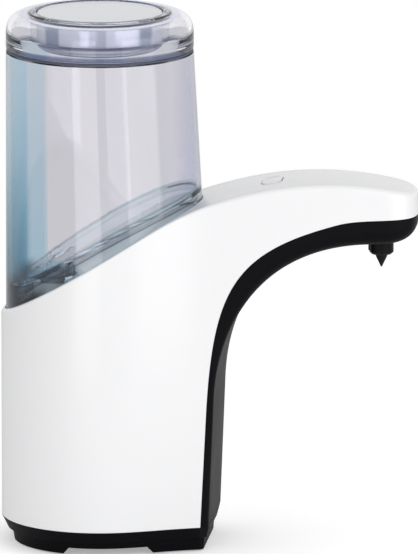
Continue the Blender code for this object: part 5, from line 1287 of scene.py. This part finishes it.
def make_spring(name, spot, radius, wire, turns, body):
    """A wire's ring spun with a rise."""
    low, high = heights(name)
    form = bmesh.new()
    around = Matrix.Translation((spot[0] + radius, spot[1], low + wire)) @ Matrix.Rotation(math.pi / 2, 4, "X")
    bmesh.ops.create_circle(form, cap_ends=False, radius=wire, segments=10, matrix=around)
    steps = 32 * turns
    rise = (0, 0, (high - low - 2 * wire) / steps)
    coil = {"cent": (*spot, 0), "axis": (0, 0, 1), "dvec": rise, "angle": math.tau * turns, "steps": steps}
    bmesh.ops.spin(form, geom=form.verts[:] + form.edges[:], **coil)
    bmesh.ops.holes_fill(form, edges=[edge for edge in form.edges if edge.is_boundary])
    clean(form)
    spring = finish_piece(mesh_object(f"{name}_dressed", form), STEEL, body, angle=70)
    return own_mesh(spring)


make_nut()
make_spring("outlet_spring", spot, 0.002, 0.0003, 5, "tank")
make_spring("button_spring", (BUTTON, 0), 0.0042, 0.0003, 4, "housing")

# %% [markdown]
# ## Floor, light and sky
# The dispenser stands on a plain pale sweep between two upright panels, one on each side of the camera. They
# light the housing's side more than its roof, and the clear tank mirrors them as two bright upright bands
# with a darker one between them, where the camera stands. The sky fills the rest. Rays from the camera, from
# mirrors and through clear plastic see a plain white sky, and only rough surfaces take the dimmer fill.

# %% Floor and light
FLOOR_SIZE = 8.0
FILL_STRENGTH = 0.66
PANELS = (
    ("panel_left", -17.0, 0.6, (0.3, 0.5), 0.67),
    ("panel_right", 52.0, 0.62, (0.5, 0.5), 1.15),
)


def make_floor():
    """A large pale plane under the feet. The camera sees it a little brighter than the lamps make it."""
    form = bmesh.new()
    bmesh.ops.create_grid(form, x_segments=1, y_segments=1, size=FLOOR_SIZE / 2)
    floor = mesh_object("floor", form)
    paint, tree, shader = new_material("floor_paper")
    seen = add_node(tree, "LightPath").outputs["Is Camera Ray"]
    values = {
        "Base Color": (0.94, 0.94, 0.94, 1),
        "Roughness": 0.9,
        "Emission Color": (1, 1, 1, 1),
        "Emission Strength": math_node(tree, "MULTIPLY", seen, 0.35),
    }
    set_inputs(tree, shader, values)
    floor.data.materials.append(paint)


def make_world():
    """White to the camera, to mirrors and through glass, and a dimmer fill for rough surfaces."""
    world = bpy.data.worlds.new("studio")
    scene.world = world
    world.use_nodes = True
    tree = world.node_tree
    path = add_node(tree, "LightPath").outputs
    seen = math_node(tree, "MAXIMUM", path["Is Camera Ray"], path["Is Glossy Ray"])
    seen = math_node(tree, "MAXIMUM", seen, path["Is Transmission Ray"])
    values = {"Color": (1, 1, 1, 1), "Strength": ranged(tree, seen, FILL_STRENGTH, 1.0)}
    set_inputs(tree, tree.nodes["Background"], values)


def softbox(name, place, aim, size, power):
    """A rectangular lamp that faces the aim."""
    lamp = bpy.data.lights.new(name, "AREA")
    lamp.shape = "RECTANGLE"
    lamp.size, lamp.size_y = size
    lamp.energy = power
    thing = bpy.data.objects.new(name, lamp)
    scene.collection.objects.link(thing)
    thing.location = place
    thing.rotation_euler = (Vector(place) - Vector(aim)).to_track_quat("Z", "Y").to_euler()


make_floor()
make_world()
for name, turn, away, size, power in PANELS:
    turn = math.radians(turn)
    height = size[1] / 2 + 0.01
    softbox(name, (math.sin(turn) * away, -math.cos(turn) * away, height), (0, 0, height), size, power)
